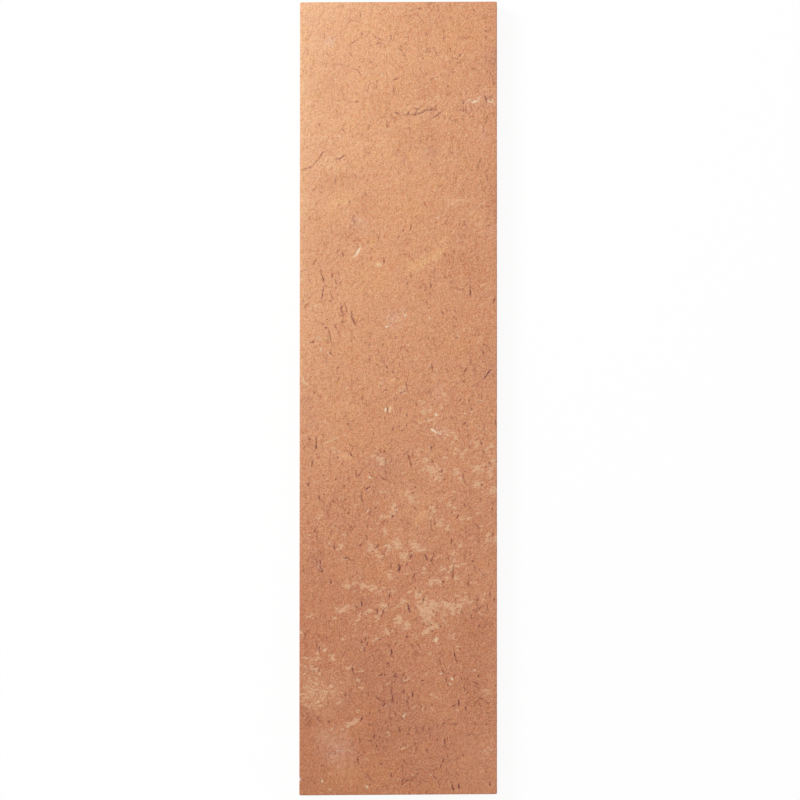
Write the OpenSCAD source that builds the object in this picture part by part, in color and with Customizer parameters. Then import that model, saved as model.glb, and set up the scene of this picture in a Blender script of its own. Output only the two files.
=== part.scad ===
// Long-format terracotta-coloured ceramic tile, dry-pressed and fired as one solid piece.
// It lies on its back with the face up: X runs across it, Y runs along it, and Z is its thickness.
// The origin is the middle of the plane that the back's ribs stand on. Sizes are in millimetres.

/* [Face] */
// Length of the tile along Y
tile_length = 281; // [120:1:600]
// Width of the tile along X
tile_width = 70; // [40:1:200]
// Thickness from the back's ribs to the face
tile_thickness = 10; // [7:0.5:20]

/* [Edges] */
// Radius of the rounded arris round the face
arris_radius = 0.5; // [0.3:0.1:2]
// Radius of the four upright corners
corner_radius = 0.6; // [0.2:0.1:2]
// Height of the die's draft round the back
draft_height = 2.5; // [1:0.1:4]
// How far the draft sets the back in from the sides
draft_setback = 0.7; // [0.2:0.1:2]

/* [Back] */
// Depth of the keying pockets between the back's ribs
pocket_depth = 0.8; // [0.4:0.1:1.5]
// Length and width that a pocket comes nearest to
pocket_size = 13; // [8:1:20]
// Radius of a pocket's corners
pocket_corner_radius = 2; // [0.5:0.5:3.5]
// Width of the ribs between the pockets
rib_width = 3; // [1.5:0.5:6]
// Width of the plain rib round the back
border_width = 4; // [2:0.5:10]

/* [Hidden] */
$fn = 48;
// How far a cutting or clipping solid runs past the surface that it cuts
overrun = 1;
// Largest share of a small pocket's side that one corner's radius takes up
corner_share = 0.4;
clay_colour = "peru";

// The back's size across and along, inside the draft
function back_span(span) = span - 2 * draft_setback;

// Room for the pockets inside the border rib
function pocket_room(span) = back_span(span) - 2 * border_width;

// An even number of pockets, so that two ribs cross in the middle of the back
function pocket_count(span) =
    2 * max(1, round((pocket_room(span) + rib_width) / (pocket_size + rib_width) / 2));

// The pockets' pitch and size once they fill the room evenly
function pocket_pitch(span) = (pocket_room(span) + rib_width) / pocket_count(span);
function pocket_fitted(span) = pocket_pitch(span) - rib_width;

// A rectangle with round corners, centred on the origin
module rounded_rectangle(width, length, radius) {
    square([width - 2 * radius, length], center = true);
    square([width, length - 2 * radius], center = true);
    for (side = [-1, 1], end = [-1, 1])
        translate([side * (width / 2 - radius), end * (length / 2 - radius)])
            circle(r = radius);
}

// Section through the tile: drafted foot, upright side and rounded arris
module edge_section(span) {
    shoulder = tile_thickness - arris_radius;
    polygon([
        [-back_span(span) / 2, 0],
        [back_span(span) / 2, 0],
        [span / 2, draft_height],
        [span / 2, shoulder],
        [-span / 2, shoulder],
        [-span / 2, draft_height]
    ]);
    translate([arris_radius - span / 2, draft_height])
        square([span - 2 * arris_radius, tile_thickness - draft_height]);
    for (side = [-1, 1])
        translate([side * (span / 2 - arris_radius), shoulder])
            circle(r = arris_radius);
}

// The plain slab: its two sections and its outline meet in one solid
module slab() {
    intersection() {
        rotate([90, 0, 0])
            linear_extrude(tile_length + 2 * overrun, center = true)
                edge_section(tile_width);
        rotate([90, 0, 90])
            linear_extrude(tile_width + 2 * overrun, center = true)
                edge_section(tile_length);
        linear_extrude(tile_thickness)
            rounded_rectangle(tile_width, tile_length, corner_radius);
    }
}

// The keying pockets that leave the lattice of ribs on the back
module pockets() {
    across = pocket_count(tile_width);
    along = pocket_count(tile_length);
    corner = min(
        pocket_corner_radius,
        corner_share * min(pocket_fitted(tile_width), pocket_fitted(tile_length))
    );
    for (column = [0 : across - 1], row = [0 : along - 1])
        translate([
            (column - (across - 1) / 2) * pocket_pitch(tile_width),
            (row - (along - 1) / 2) * pocket_pitch(tile_length),
            -overrun
        ])
            linear_extrude(pocket_depth + overrun)
                rounded_rectangle(pocket_fitted(tile_width), pocket_fitted(tile_length), corner);
}

module tile() {
    color(clay_colour)
        difference() {
            slab();
            pockets();
        }
}

tile();
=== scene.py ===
"""Long-format terracotta tile: a dry-pressed, fired clay slab with a sandy, torn face and a keyed back.

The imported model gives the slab's box. Lengths in the dataclasses are millimetres, and places on the face
are counted from its middle: X runs across the tile, Y along it and Z up from the plane of its ribs.
"""

import logging
import math
import random
from collections.abc import Iterable, Sequence
from dataclasses import dataclass
from enum import Enum

import bmesh
import bpy
import numpy as np
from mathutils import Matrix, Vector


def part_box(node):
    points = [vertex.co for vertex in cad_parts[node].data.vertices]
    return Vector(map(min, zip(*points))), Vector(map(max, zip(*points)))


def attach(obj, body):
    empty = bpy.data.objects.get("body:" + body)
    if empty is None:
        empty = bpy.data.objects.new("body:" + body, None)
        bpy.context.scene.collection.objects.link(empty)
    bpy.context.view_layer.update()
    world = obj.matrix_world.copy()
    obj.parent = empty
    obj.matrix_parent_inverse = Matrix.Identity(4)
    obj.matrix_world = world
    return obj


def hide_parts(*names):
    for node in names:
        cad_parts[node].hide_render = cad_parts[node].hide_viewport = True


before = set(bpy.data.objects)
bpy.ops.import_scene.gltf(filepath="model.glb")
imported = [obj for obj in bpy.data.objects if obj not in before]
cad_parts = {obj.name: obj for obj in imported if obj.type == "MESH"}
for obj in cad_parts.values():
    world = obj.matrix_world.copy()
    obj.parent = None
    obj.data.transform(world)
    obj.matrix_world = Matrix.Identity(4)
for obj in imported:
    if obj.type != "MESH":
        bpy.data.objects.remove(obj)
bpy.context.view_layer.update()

LOG = logging.getLogger("tile")
MM = 0.001
SQUARE_CENTIMETRE = 100
NODE = "tile"
BODY = "root"
# The point attribute that carries the raised lips on the left of the tears, which the face's colour also
# lightens as a painted highlight, beside one for each kind of mark.
LIP_AND_HIGHLIGHT = "lip_and_highlight"

Piece = bpy.types.Object
Tree = bpy.types.NodeTree
Socket = bpy.types.NodeSocket
Span = tuple[float, float]
Stop = tuple[float, str]
Shares = dict[str, Socket]


def linear(hex_colour: str) -> tuple[float, float, float, float]:
    """Turns an sRGB colour into the linear one that the shaders work in.

    Args:
        hex_colour: the colour as #rrggbb.

    Returns:
        Red, green, blue and a full alpha.
    """
    shares = [int(hex_colour[place:place + 2], 16) / 255 for place in (1, 3, 5)]
    red, green, blue = (s / 12.92 if s <= 0.04045 else ((s + 0.055) / 1.055) ** 2.4 for s in shares)
    return red, green, blue, 1.0


def add_node(
    tree: Tree, kind: str, feeds: dict | None = None, stops: Sequence[Stop] = (), **settings: object
) -> bpy.types.Node:
    """Adds one shader node with its settings and links.

    Args:
        tree: the material's or world's nodes.
        kind: the node's type, without the word that all shader nodes start with.
        feeds: for each input, by name or number, its value or the output that it is linked to.
        stops: for a colour ramp, the place and colour of each stop.
        settings: the node's own properties.

    Returns:
        The new node.
    """
    node = tree.nodes.new("ShaderNode" + kind)
    for name, value in settings.items():
        setattr(node, name, value)
    for name, value in (feeds or {}).items():
        if isinstance(value, bpy.types.NodeSocket):
            tree.links.new(value, node.inputs[name])
        else:
            node.inputs[name].default_value = value
    for index, (place, colour) in enumerate(stops):
        elements = node.color_ramp.elements
        stop = elements[index] if index < 2 else elements.new(place)
        stop.position = place
        stop.color = linear(colour)
    return node


def deselect_everything() -> None:
    """Leaves nothing selected, so that the next operator acts only on what is chosen for it."""
    bpy.ops.object.select_all(action="DESELECT")


def edit_chosen(piece: Piece, chosen: np.ndarray, parts: str = "polygons") -> None:
    """Opens a piece in edit mode with just the chosen faces or vertices selected.

    Args:
        piece: the object to edit.
        chosen: for each face or vertex, whether it is selected.
        parts: "polygons" or "vertices".
    """
    by_face = parts == "polygons"
    bpy.context.tool_settings.mesh_select_mode = (not by_face, False, by_face)
    bpy.ops.object.mode_set(mode="EDIT")
    bpy.ops.mesh.select_all(action="DESELECT")
    bpy.ops.object.mode_set(mode="OBJECT")
    getattr(piece.data, parts).foreach_set("select", chosen)
    bpy.ops.object.mode_set(mode="EDIT")


def vertex_places(piece: Piece) -> np.ndarray:
    """Reads every vertex's place.

    Args:
        piece: the object to read.

    Returns:
        Rows of x, y and z in millimetres.
    """
    places = np.empty(len(piece.data.vertices) * 3)
    piece.data.vertices.foreach_get("co", places)
    return places.reshape(-1, 3) / MM


def move_vertices(piece: Piece, places: np.ndarray) -> None:
    """Puts every vertex at its place, given in millimetres as rows of x, y and z."""
    piece.data.vertices.foreach_set("co", (places * MM).ravel())
    piece.data.update()


def face_values(piece: Piece, name: str) -> np.ndarray:
    """Reads every face's centre or normal.

    Args:
        piece: the object to read.
        name: "center" or "normal".

    Returns:
        Rows of x, y and z, a centre in metres.
    """
    values = np.empty(len(piece.data.polygons) * 3)
    piece.data.polygons.foreach_get(name, values)
    return values.reshape(-1, 3)


@dataclass
class Slab:
    """The pressed slab: a fine grid for its face, rings down its edges and ribs across its back."""

    width: float
    length: float
    thickness: float
    cell: float = 0.7
    arris_radius: float = 0.5
    arris_steps: int = 4
    corner_ease: float = 0.12
    side_steps: int = 5
    draft_height: float = 2.5
    draft_setback: float = 0.7
    draft_steps: int = 2
    border_width: float = 4.0
    rib_width: float = 3.0
    pockets_across: int = 4
    pockets_along: int = 18
    pocket_depth: float = 0.8
    pocket_corner: float = 2.0
    tolerance: float = 0.01
    cut_tolerance: float = 0.0001

    def build(self) -> Piece:
        """Models the plain slab.

        Returns:
            The closed slab, in its place, with a smooth face and a sharp foot.
        """
        piece = self._add_face_grid()
        self._draw_rings_down()
        self._close_back()
        self._press_pockets(piece)
        bpy.ops.mesh.reveal(select=False)
        bpy.ops.mesh.select_all(action="SELECT")
        bpy.ops.mesh.normals_make_consistent(inside=False)
        bpy.ops.object.mode_set(mode="OBJECT")
        self._round_pocket_corners(piece)
        self._ease_corners(piece)
        return piece

    def lattice(self) -> list[tuple[float, float, np.ndarray]]:
        """Lays the pockets out over the back.

        Returns:
            Across and then along: the pockets' pitch, half of a pocket's size and the pockets' centres.
        """
        rows = []
        for span, count in ((self.width, self.pockets_across), (self.length, self.pockets_along)):
            room = span - 2 * (self.draft_setback + self.border_width)
            pitch = (room + self.rib_width) / count
            rows.append((pitch, (pitch - self.rib_width) / 2, (np.arange(count) - (count - 1) / 2) * pitch))
        return rows

    def _add_face_grid(self) -> Piece:
        """Adds the flat of the face as a grid and opens it in edit mode.

        Returns:
            The new object.
        """
        flat_width = self.width - 2 * self.arris_radius
        flat_length = self.length - 2 * self.arris_radius
        deselect_everything()
        bpy.ops.mesh.primitive_grid_add(
            x_subdivisions=round(flat_width / self.cell),
            y_subdivisions=round(flat_length / self.cell),
            size=MM,
            location=(0, 0, 0),
        )
        piece = bpy.context.object
        piece.name = piece.data.name = "clay_tile"
        bpy.ops.object.mode_set(mode="EDIT")
        bpy.ops.mesh.select_all(action="SELECT")
        bpy.ops.transform.resize(value=(flat_width, flat_length, 1), center_override=(0, 0, 0))
        bpy.ops.transform.translate(value=(0, 0, self.thickness * MM))
        return piece

    def _ring_sections(self) -> list[Span]:
        """Works out the edge's section as rings, from the face down.

        Returns:
            How far each ring stands out from the flat of the face, and its height.
        """
        radius = self.arris_radius
        shoulder = self.thickness - radius
        turns = [math.radians(90 * (step + 1) / self.arris_steps) for step in range(self.arris_steps)]
        arris = [(radius * math.sin(turn), shoulder + radius * math.cos(turn)) for turn in turns]
        side_drop = (shoulder - self.draft_height) / self.side_steps
        side = [(radius, shoulder - side_drop * (step + 1)) for step in range(self.side_steps)]
        shares = [(step + 1) / self.draft_steps for step in range(self.draft_steps)]
        draft = [(radius - self.draft_setback * share, self.draft_height * (1 - share)) for share in shares]
        return arris + side + draft

    def _draw_rings_down(self) -> None:
        """Extrudes the face's border over the arris, down the sides and in along the draft."""
        half_width = self.width / 2 - self.arris_radius
        half_length = self.length / 2 - self.arris_radius
        outset, height = 0.0, self.thickness
        bpy.ops.mesh.region_to_loop()
        for new_outset, new_height in self._ring_sections():
            step = (0, 0, (new_height - height) * MM)
            bpy.ops.mesh.extrude_edges_move(TRANSFORM_OT_translate={"value": step})
            wider, longer = [(half + new_outset) / (half + outset) for half in (half_width, half_length)]
            bpy.ops.transform.resize(value=(wider, longer, 1), center_override=(0, 0, 0))
            outset, height = new_outset, new_height

    def _close_back(self) -> None:
        """Caps the foot and cuts the cap along the ribs and where the pockets' corners begin and turn."""
        bpy.ops.mesh.edge_face_add()
        bpy.ops.mesh.hide(unselected=True)
        # A cut here gives a round corner points a quarter and three quarters of the way round it.
        turn = self.pocket_corner * (1 - math.tan(math.radians(90 / 4)))
        for (_, half_pocket, centres), normal in zip(self.lattice(), ((1, 0, 0), (0, 1, 0))):
            offsets = [half_pocket - inset for inset in (0, turn, self.pocket_corner)]
            for centre in centres.tolist():
                for offset in [-offset for offset in offsets] + offsets:
                    place = (centre + offset) * MM
                    bpy.ops.mesh.select_all(action="SELECT")
                    bpy.ops.mesh.bisect(
                        plane_co=[place * share for share in normal],
                        plane_no=normal,
                        threshold=self.cut_tolerance * MM,
                    )

    def _press_pockets(self, piece: Piece) -> None:
        """Presses the pockets into the back, with square corners.

        Args:
            piece: the slab, in edit mode.
        """
        bpy.ops.mesh.select_mode(type="FACE")
        bpy.ops.mesh.select_all(action="DESELECT")
        shape = bmesh.from_edit_mesh(piece.data)
        for face in (face for face in shape.faces if not face.hide):
            middle = face.calc_center_bounds()
            face.select = all(
                np.abs(centres - value / MM).min() < half_pocket
                for value, (_, half_pocket, centres) in zip(middle, self.lattice())
            )
        shape.select_flush_mode()
        bpy.ops.mesh.extrude_region_move(TRANSFORM_OT_translate={"value": (0, 0, self.pocket_depth * MM)})

    def _round_pocket_corners(self, piece: Piece) -> None:
        """Draws the square corners of the pockets in to their radius.

        Args:
            piece: the slab.
        """
        places = vertex_places(piece)
        from_centre = places[:, :2] - self.pocket_centres(places)
        halves = np.array([half_pocket for _, half_pocket, _ in self.lattice()])
        past_turn = np.abs(from_centre) - (halves - self.pocket_corner)
        farthest = past_turn.max(axis=1)
        chosen = (past_turn.min(axis=1) > self.tolerance) & (farthest < self.pocket_corner + self.tolerance)
        chosen &= places[:, 2] < self.pocket_depth + self.tolerance
        drawn_in = past_turn * (farthest / np.hypot(*past_turn.T))[:, None] - past_turn
        places[chosen, :2] += (drawn_in * np.sign(from_centre))[chosen]
        move_vertices(piece, places)

    def pocket_centres(self, places: np.ndarray) -> np.ndarray:
        """Finds the middle of the pocket nearest to each place.

        Args:
            places: rows whose first two numbers are x and y.

        Returns:
            Rows of x and y.
        """
        nearest = []
        for column, (pitch, _, centres) in enumerate(self.lattice()):
            index = np.round((places[:, column] - centres[0]) / pitch)
            nearest.append(centres[np.clip(index, 0, len(centres) - 1).astype(int)])
        return np.stack(nearest, axis=1)

    def _ease_corners(self, piece: Piece) -> None:
        """Draws the four upright corners in a little, so that they aren't knife-sharp.

        Args:
            piece: the slab.
        """
        places = vertex_places(piece)
        past_flat = np.abs(places[:, 0]) > self.width / 2 - self.arris_radius + self.tolerance
        past_flat &= np.abs(places[:, 1]) > self.length / 2 - self.arris_radius + self.tolerance
        ease = self.corner_ease * MM
        for side in (-1, 1):
            for end in (-1, 1):
                chosen = past_flat & (places[:, 0] * side > 0) & (places[:, 1] * end > 0)
                edit_chosen(piece, chosen, "vertices")
                bpy.ops.transform.translate(value=(-side * ease, -end * ease, 0))
                bpy.ops.object.mode_set(mode="OBJECT")


class MarkKind(Enum):
    """What a mark on the face is. The value names the point attribute that carries it to the shader."""

    TEAR = "tear"
    STRAW = "straw"
    BUFF = "buff"
    OCHRE = "ochre"
    AMBER = "amber"
    EMBER = "ember"
    MAUVE = "mauve"
    HAZE = "haze"
    FILM = "film"
    RUB = "rub"
    CHIP = "chip"


@dataclass(frozen=True)
class MarkEdge:
    """How a kind of mark ends.

    Its cover fades over a share of its half width, and its outline wanders by some millimetres in cells of
    some more.
    """

    fade: float
    wander: float
    wander_cell: float


CLOUD_EDGE = MarkEdge(1.0, 1.5, 5.0)
EDGES = {
    MarkKind.TEAR: MarkEdge(1.0, 0.16, 1.3),
    MarkKind.STRAW: MarkEdge(0.4, 0.1, 2.0),
    MarkKind.BUFF: MarkEdge(0.9, 0.5, 2.0),
    MarkKind.OCHRE: MarkEdge(0.7, 0.6, 3.0),
    MarkKind.AMBER: CLOUD_EDGE,
    MarkKind.EMBER: CLOUD_EDGE,
    MarkKind.MAUVE: CLOUD_EDGE,
    MarkKind.HAZE: MarkEdge(1.0, 1.0, 4.0),
    MarkKind.FILM: MarkEdge(1.0, 1.2, 4.0),
    MarkKind.RUB: CLOUD_EDGE,
    MarkKind.CHIP: MarkEdge(0.4, 0.2, 0.8),
}
DRIFT_CELLS = 256
# The wander of an outline: how much finer each drift in it is, how strong, and its seed.
WANDER_DRIFTS = ((1.0, 1.0, 3), (2.7, 0.5, 4))
# How far outside a mark's own size its wandering edge may still reach.
WANDER_ROOM = 3.0


def drift(places: np.ndarray, cell: float, seed: int) -> np.ndarray:
    """Smooth random shifts that make straight marks wander.

    Args:
        places: rows whose first two numbers are x and y.
        cell: how far apart the shifts are drawn.
        seed: which set of shifts it is.

    Returns:
        A row of two numbers from -1 to 1 for each place.
    """
    shifts = np.random.default_rng(seed).uniform(-1, 1, (DRIFT_CELLS, DRIFT_CELLS, 2))
    steps = places[:, :2] / cell
    corner = np.floor(steps).astype(int)
    share = steps - corner
    share = share * share * (3 - 2 * share)
    mixed = 0
    for right in (0, 1):
        for up in (0, 1):
            weight = np.abs(1 - right - share[:, 0]) * np.abs(1 - up - share[:, 1])
            column, row = ((corner + (right, up)) % DRIFT_CELLS).T
            mixed = mixed + shifts[column, row] * weight[:, None]
    return mixed


def wandered(kind: MarkKind, places: np.ndarray) -> np.ndarray:
    """Shifts places so that the outline of a kind of mark wanders.

    Args:
        kind: the kind of mark.
        places: rows whose first two numbers are x and y.

    Returns:
        The x and y from which the mark is measured, for each place.
    """
    edge = EDGES[kind]
    shifts = [share * drift(places, edge.wander_cell / finer, seed) for finer, share, seed in WANDER_DRIFTS]
    return places[:, :2] + edge.wander * sum(shifts)


@dataclass(frozen=True)
class Mark:
    """One long spot on the face: its centre, size, turn from X in degrees, strength and bow."""

    kind: MarkKind
    x: float
    y: float
    length: float
    width: float
    turn: float = 90.0
    strength: float = 1.0
    bow: float = 0.0

    def reach(self, places: np.ndarray, margin: float = 0.0) -> np.ndarray:
        """How far each place lies from the mark's centre, where 1 is its edge.

        Args:
            places: rows whose first two numbers are x and y.
            margin: how much the edge is moved out.

        Returns:
            One number for each place.
        """
        turn = math.radians(self.turn)
        x, y = places[:, 0] - self.x, places[:, 1] - self.y
        along = (x * math.cos(turn) + y * math.sin(turn)) / (self.length / 2 + margin)
        across = y * math.cos(turn) - x * math.sin(turn) - self.bow * (1 - along**2)
        return np.hypot(along, across / (self.width / 2 + margin))

    def cover(self, places: np.ndarray) -> np.ndarray:
        """How strongly the mark covers each place, from 0 to its strength."""
        fade = EDGES[self.kind].fade
        return self.strength * np.clip((1 + fade - self.reach(places)) / (2 * fade), 0, 1)


@dataclass
class FaceMarks:
    """What the clay's tears, straw, lime and patches of slip have left on the face.

    The marks that stand out are at their own places. Small ones are scattered between them, more or fewer
    in each part of the face. The parts are thirds of its width, a part's length apart.
    """

    width: float
    length: float
    seed: int = 21
    tear_width: float = 0.36
    straw_width: float = 0.5
    # A patch's soft edge lies outside its size, and even a faint patch has some strength.
    patch_spread: float = 0.4
    patch_floor: float = 0.3
    chip_place: float = -134.5
    chip_size: Span = (1.1, 1.3)
    chip_turn: float = 80.0
    part_length: float = 20.0
    part_spread: float = 0.6
    clear_of_edge: float = 0.6
    # The small tears stand nearly upright, lean with the clay, and lie one or two in a row.
    lean: float = 92.0
    lean_drift: float = 35.0
    lean_cell: float = 18.0
    lean_seed: int = 5
    lean_spread: float = 25.0
    small_tear_strengths: Span = (0.15, 0.5)
    small_tear_lengths: Span = (0.45, 3.0)
    small_tear_rarity: float = 2.4
    tear_overlap: float = 0.7
    # A few of the flecks are stray straw ends and grains of lime.
    stray_share: float = 0.06
    stray_lengths: Span = (0.6, 1.3)
    stray_strengths: Span = (0.25, 0.6)
    fleck_lengths: Span = (0.8, 2.4)
    fleck_widths: Span = (0.35, 0.8)
    fleck_strengths: Span = (0.2, 0.6)

    # A row holds a mark's x, y, length, width, turn and strength. A tear's row leaves out the width.
    TEARS = (
        (-26,128.5,1.5,90,.5), (-17,133.5,1,40,.5), (-13.5,135.5,1.5,80,.45), (-13,129,1.5,90,.4),
        (-15.5,126.5,3.5,32,.4), (-17,125,1,150,.35), (-10,125.5,.5,0,.5), (-7.5,125.5,.5,90,.4),
        (-25,122,1.5,135,.35), (-21.5,118.5,3,2,.4), (-19.5,118,2.5,158,.4), (-25,118.5,3,2,.25),
        (-15.5,116.5,1.5,170,.45), (-14,115.5,2.5,125,.4), (-10,117,1,150,.4), (-7.5,112.5,1,60,.4),
        (-18,105.5,3,155,.35), (-14.5,105,1,15,.5), (-15,108,1,100,.35), (-2.5,128,1.5,95,.65),
        (0,129,1,60,.4), (1,123.5,1,130,.55), (2,121.5,2.5,120,.45), (-1,113,1.5,10,.6), (8,116,1,90,.65),
        (12,113,1,45,.45), (17.5,110.5,.5,90,.55), (17.5,107.5,1,60,.4), (26.5,116.5,1,20,.6),
        (21,118.5,1,50,.45), (31,130,.5,150,.65), (31,128,.5,90,.5), (5,137.5,2,20,.35),
        (4.5,135.5,1.5,15,.45), (7,138,2,10,.55), (12,140,1.5,10,.4), (14,137.5,1.5,75,.4),
        (14.5,135,.5,60,.4), (13.5,133,1,0,.35), (16,130,1.5,90,.35), (3.5,128,1.5,90,.4),
        (18.5,123.5,1,120,.5), (13.5,122.5,1.5,120,.45), (10.5,122.5,1.5,0,.4), (20,120.5,2.5,160,.35),
        (-.5,101,2,155,.6), (2,100.5,2,170,.45), (3.5,101,2,60,.5), (6,102.5,1.5,175,.45),
        (6.5,101.5,2.5,60,.45), (6,100.5,2.5,5,.55), (7.5,101,2,20,.6), (9,101.5,2,35,.5),
        (10.5,102,3,5,.7), (10,102.5,2,15,.35), (12.5,102.5,2,170,.6), (13,103,1.5,60,.5),
        (14,100.5,3.5,33,.8), (14.5,101,2.5,38,.45), (12,99.5,1.5,20,.5), (-4,97,1.5,100,.5),
        (16.5,99,1,90,.35), (22,102,1.5,95,.45), (24,102,1,90,.35), (23,105.5,1.5,170,.55),
        (23,104.5,1,90,.85), (31,106,1.5,100,.85), (32,106.5,2.5,30,.4), (33,106.5,2,60,.35),
        (24,108,1.5,60,.35), (-33,81.5,2.5,15,.4), (-31.5,82,1.5,20,.55), (-29.5,83.5,3.5,48,.45),
        (-27.5,86,3,62,.5), (-21.5,85,1.5,5,.5), (-20,85.5,2,38,.55), (-25,84,1,40,.35),
        (-22.5,77,2.5,95,.35), (-10.5,96,1.5,90,.6), (-28,97,1,90,.4), (-29,96,1,80,.35),
        (-19.5,95,1.5,130,.35), (-10.5,87,2,160,.35), (8,91,1,80,.5), (29,84,1,70,.5), (31.5,78,1.5,95,.5),
        (33,75,1,80,.5), (-16.5,82,3,10,.25), (4.5,60.5,1.5,70,.6), (-17,60.5,1.5,60,.45),
        (-7,56.5,1.5,95,.6), (0,57,1,85,.5), (-5,48.5,1,70,.7), (-21.5,52,1.5,50,.4), (32,61,1.5,15,.4),
        (23.5,57,1.5,120,.35), (31.5,57,1,0,.45), (26,52,1,60,.4), (-27,43.5,3.5,106,.75),
        (-26.5,42,1,100,.5), (-23.5,43.5,1.5,90,.6), (-22,41.5,2,100,.5), (-20.5,41,1.5,60,.35),
        (-26.5,38.5,2.5,72,.5), (-27,36.5,2.5,75,.65), (-26,34.5,1.5,70,.35), (-31,41,1,0,.35),
        (-23.5,36,1.5,120,.55), (-24,37.5,1.5,110,.35), (-32,33.5,1,80,.6), (-33,32.5,1,90,.5),
        (-20.5,33.5,.5,90,.5), (-20,31.5,3.5,98,.65), (-18.5,32,2.5,102,.5), (-19.5,27.5,1.5,85,.55),
        (-16.5,29.5,2.5,98,.6), (-15.5,27,3,114,.55), (-26.5,26.5,1,0,.6), (-25.5,25,1,0,.85),
        (-24.5,24,1.5,110,.5), (-24,21.5,3.5,100,.75), (-25,20,1.5,80,.4), (-22,25,3,125,.45),
        (-21,23,1.5,110,.35), (-30.5,20,1,0,.75), (-30,20.5,1.5,45,.4), (-24,16,1,130,.5),
        (-25.5,13.5,1.5,90,.35), (-5.5,36.5,1.5,120,.5), (-5.5,14,2,92,.55), (-5,13.5,1,90,.4),
        (-4,11,1,120,.65), (-10,23,.5,0,.5), (10,34,1.5,90,.5), (23,38.5,1,90,.4), (25.5,37.5,2.5,92,.7),
        (34,34.5,2,75,.7), (20.5,21.5,1,100,.6), (11,21,2,118,.4), (25.5,20,1.5,60,.35),
        (11.5,17,2,95,.35), (1.5,14.5,1,100,.6), (.5,12,1,90,.5), (20.5,14.5,.5,60,.4),
        (12,10.5,2.5,92,.6), (25.5,13,2,92,.45), (27,10,3,93,.45), (32,9,2.5,58,.8), (31,7.5,1,40,1),
        (17.5,9.5,1.5,105,.35), (23,6,1,170,.6), (25.5,6,.5,0,.4), (3,4,3,98,.4), (2.5,2.5,1.5,10,.55),
        (1,2,1,0,.4), (-4.5,3,1,0,.5), (28.5,5,1.5,80,.35), (29.5,0,2,92,.5), (22,-.5,1,60,.95),
        (6.5,-2,1,130,.4), (26,-4,1,150,.45), (-.5,0,1,45,.4), (23.5,-9,1,20,.95), (24.5,-10,.5,120,.7),
        (34.5,-9,1.5,90,.7), (3,-6,1,80,.5), (19,-7,.5,150,.5), (-4,-4,2.5,90,.5), (10,-8,1.5,90,.35),
        (-17.5,-10,1.5,120,.5), (-2,-11,1,80,.65), (1.5,-11.5,.5,30,.65), (.5,-10,.5,90,.45),
        (-29,-15,2.5,90,.6), (-29,-17,1,90,1), (-30.5,-23,1.5,85,.8), (-31.5,-14.5,1,130,.35),
        (-26.5,-13,1,90,.35), (-16.5,-20,1.5,115,.6), (-12.5,-19,1,90,.35), (-5,-19,.5,40,.65),
        (-7,-20,1.5,130,.45), (-4.5,-22.5,1.5,80,.45), (-2.5,-21.5,1.5,90,.35), (-15,-26.5,2,92,.5),
        (-17.5,-28.5,1,30,.5), (-5,-28.5,2,150,.65), (-4,-29,2.5,160,.4), (-9.5,-27.5,1,120,.5),
        (-19,-31,.5,60,1), (-11,-32,1,30,.9), (-8.5,-33,.5,90,.5), (-13,-35,2,98,.5),
        (-12.5,-36.5,1,95,.5), (-28,-35,1,105,.6), (-27.5,-36,1,150,.5), (-23,-36.5,.5,120,.6),
        (-22,-28.5,1,90,.4), (-33,-25,1,0,.4), (-24,-18.5,1,90,.4), (-4.5,-26,1.5,120,.4),
        (-2.5,-33.5,1,90,.5), (11.5,-17.5,1.5,110,.8), (29.5,-16,1,110,.7), (3.5,-20.5,1.5,110,.7),
        (4.5,-23,2.5,112,.6), (12,-22.5,.5,60,.9), (15.5,-25.5,.5,30,1), (23,-28,1.5,95,.75),
        (23.5,-29.5,1.5,125,.55), (24.5,-31,2.5,135,.35), (16.5,-29,.5,100,.7), (5,-33.5,.5,0,.95),
        (29.5,-31,1.5,80,.6), (6.5,-17.5,1,90,.4), (8.5,-19,.5,90,.5), (17.5,-18.5,.5,90,.4),
        (27,-19,.5,90,.5), (28,-14.5,.5,30,.5), (24.5,-14,.5,0,.4), (33.5,-14.5,1,45,.4),
        (5,-27,.5,150,.5), (-17.5,-40.5,.5,30,.95), (-26,-38,1,150,.5), (-26,-40,1.5,90,.35),
        (-8,-39,2,20,.4), (-2,-42,1,70,.9), (-19,-43,3,115,.35), (-21,-46,1,140,.65), (-22,-45,.5,90,.5),
        (-11,-45,1,100,.45), (-16,-46,1.5,60,.35), (-29.5,-47,1,100,.85), (-29,-46,1,60,.4),
        (-24,-48,3,65,.3), (-18,-47.5,1,90,.55), (-28.5,-51,6,92,.3), (-22.5,-52.5,1.5,95,.65),
        (-20.5,-54,1.5,130,.55), (-7.5,-52.5,1,40,.8), (-6,-54.5,2.5,130,.45), (-18.5,-56.5,1,0,1),
        (-17,-57,2.5,155,.45), (-27.5,-58,1.5,95,.55), (-27.5,-60,1.5,118,.65), (-27,-61,1,20,.95),
        (-11.5,-59.5,1,60,.5), (-30.5,-62,1,85,.5), (-33.5,-61,.5,90,.5), (-18,-58.5,.5,90,.4),
        (-12.5,-64,1,10,.6), (-24,-65,1,75,.75), (-6.5,-65,1,80,.5), (-2.5,-59,1.5,92,.4),
        (6,-39,2,150,.5), (20,-36,1.5,60,.5), (23.5,-38,1,90,.5), (21,-42,1,50,.7), (13,-44.5,1.5,100,.55),
        (11,-43.5,1,20,.4), (28,-45.5,2,130,.5), (24,-46,1,90,.35), (18,-48,1,90,.35), (19,-50.5,1,80,.75),
        (28.5,-51,1,90,.4), (15,-53,1.5,80,.4), (20,-52.5,1.5,95,.4), (4.5,-56,1,60,1),
        (10,-56.5,2,110,.85), (12,-57,1.5,70,.65), (12.5,-55,1,90,.4), (25.5,-55.5,.5,30,.75),
        (24,-54.5,1.5,90,.35), (23.5,-56.5,1.5,90,.35), (26.5,-58,.5,0,.75), (27,-60,1.5,110,.35),
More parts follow.
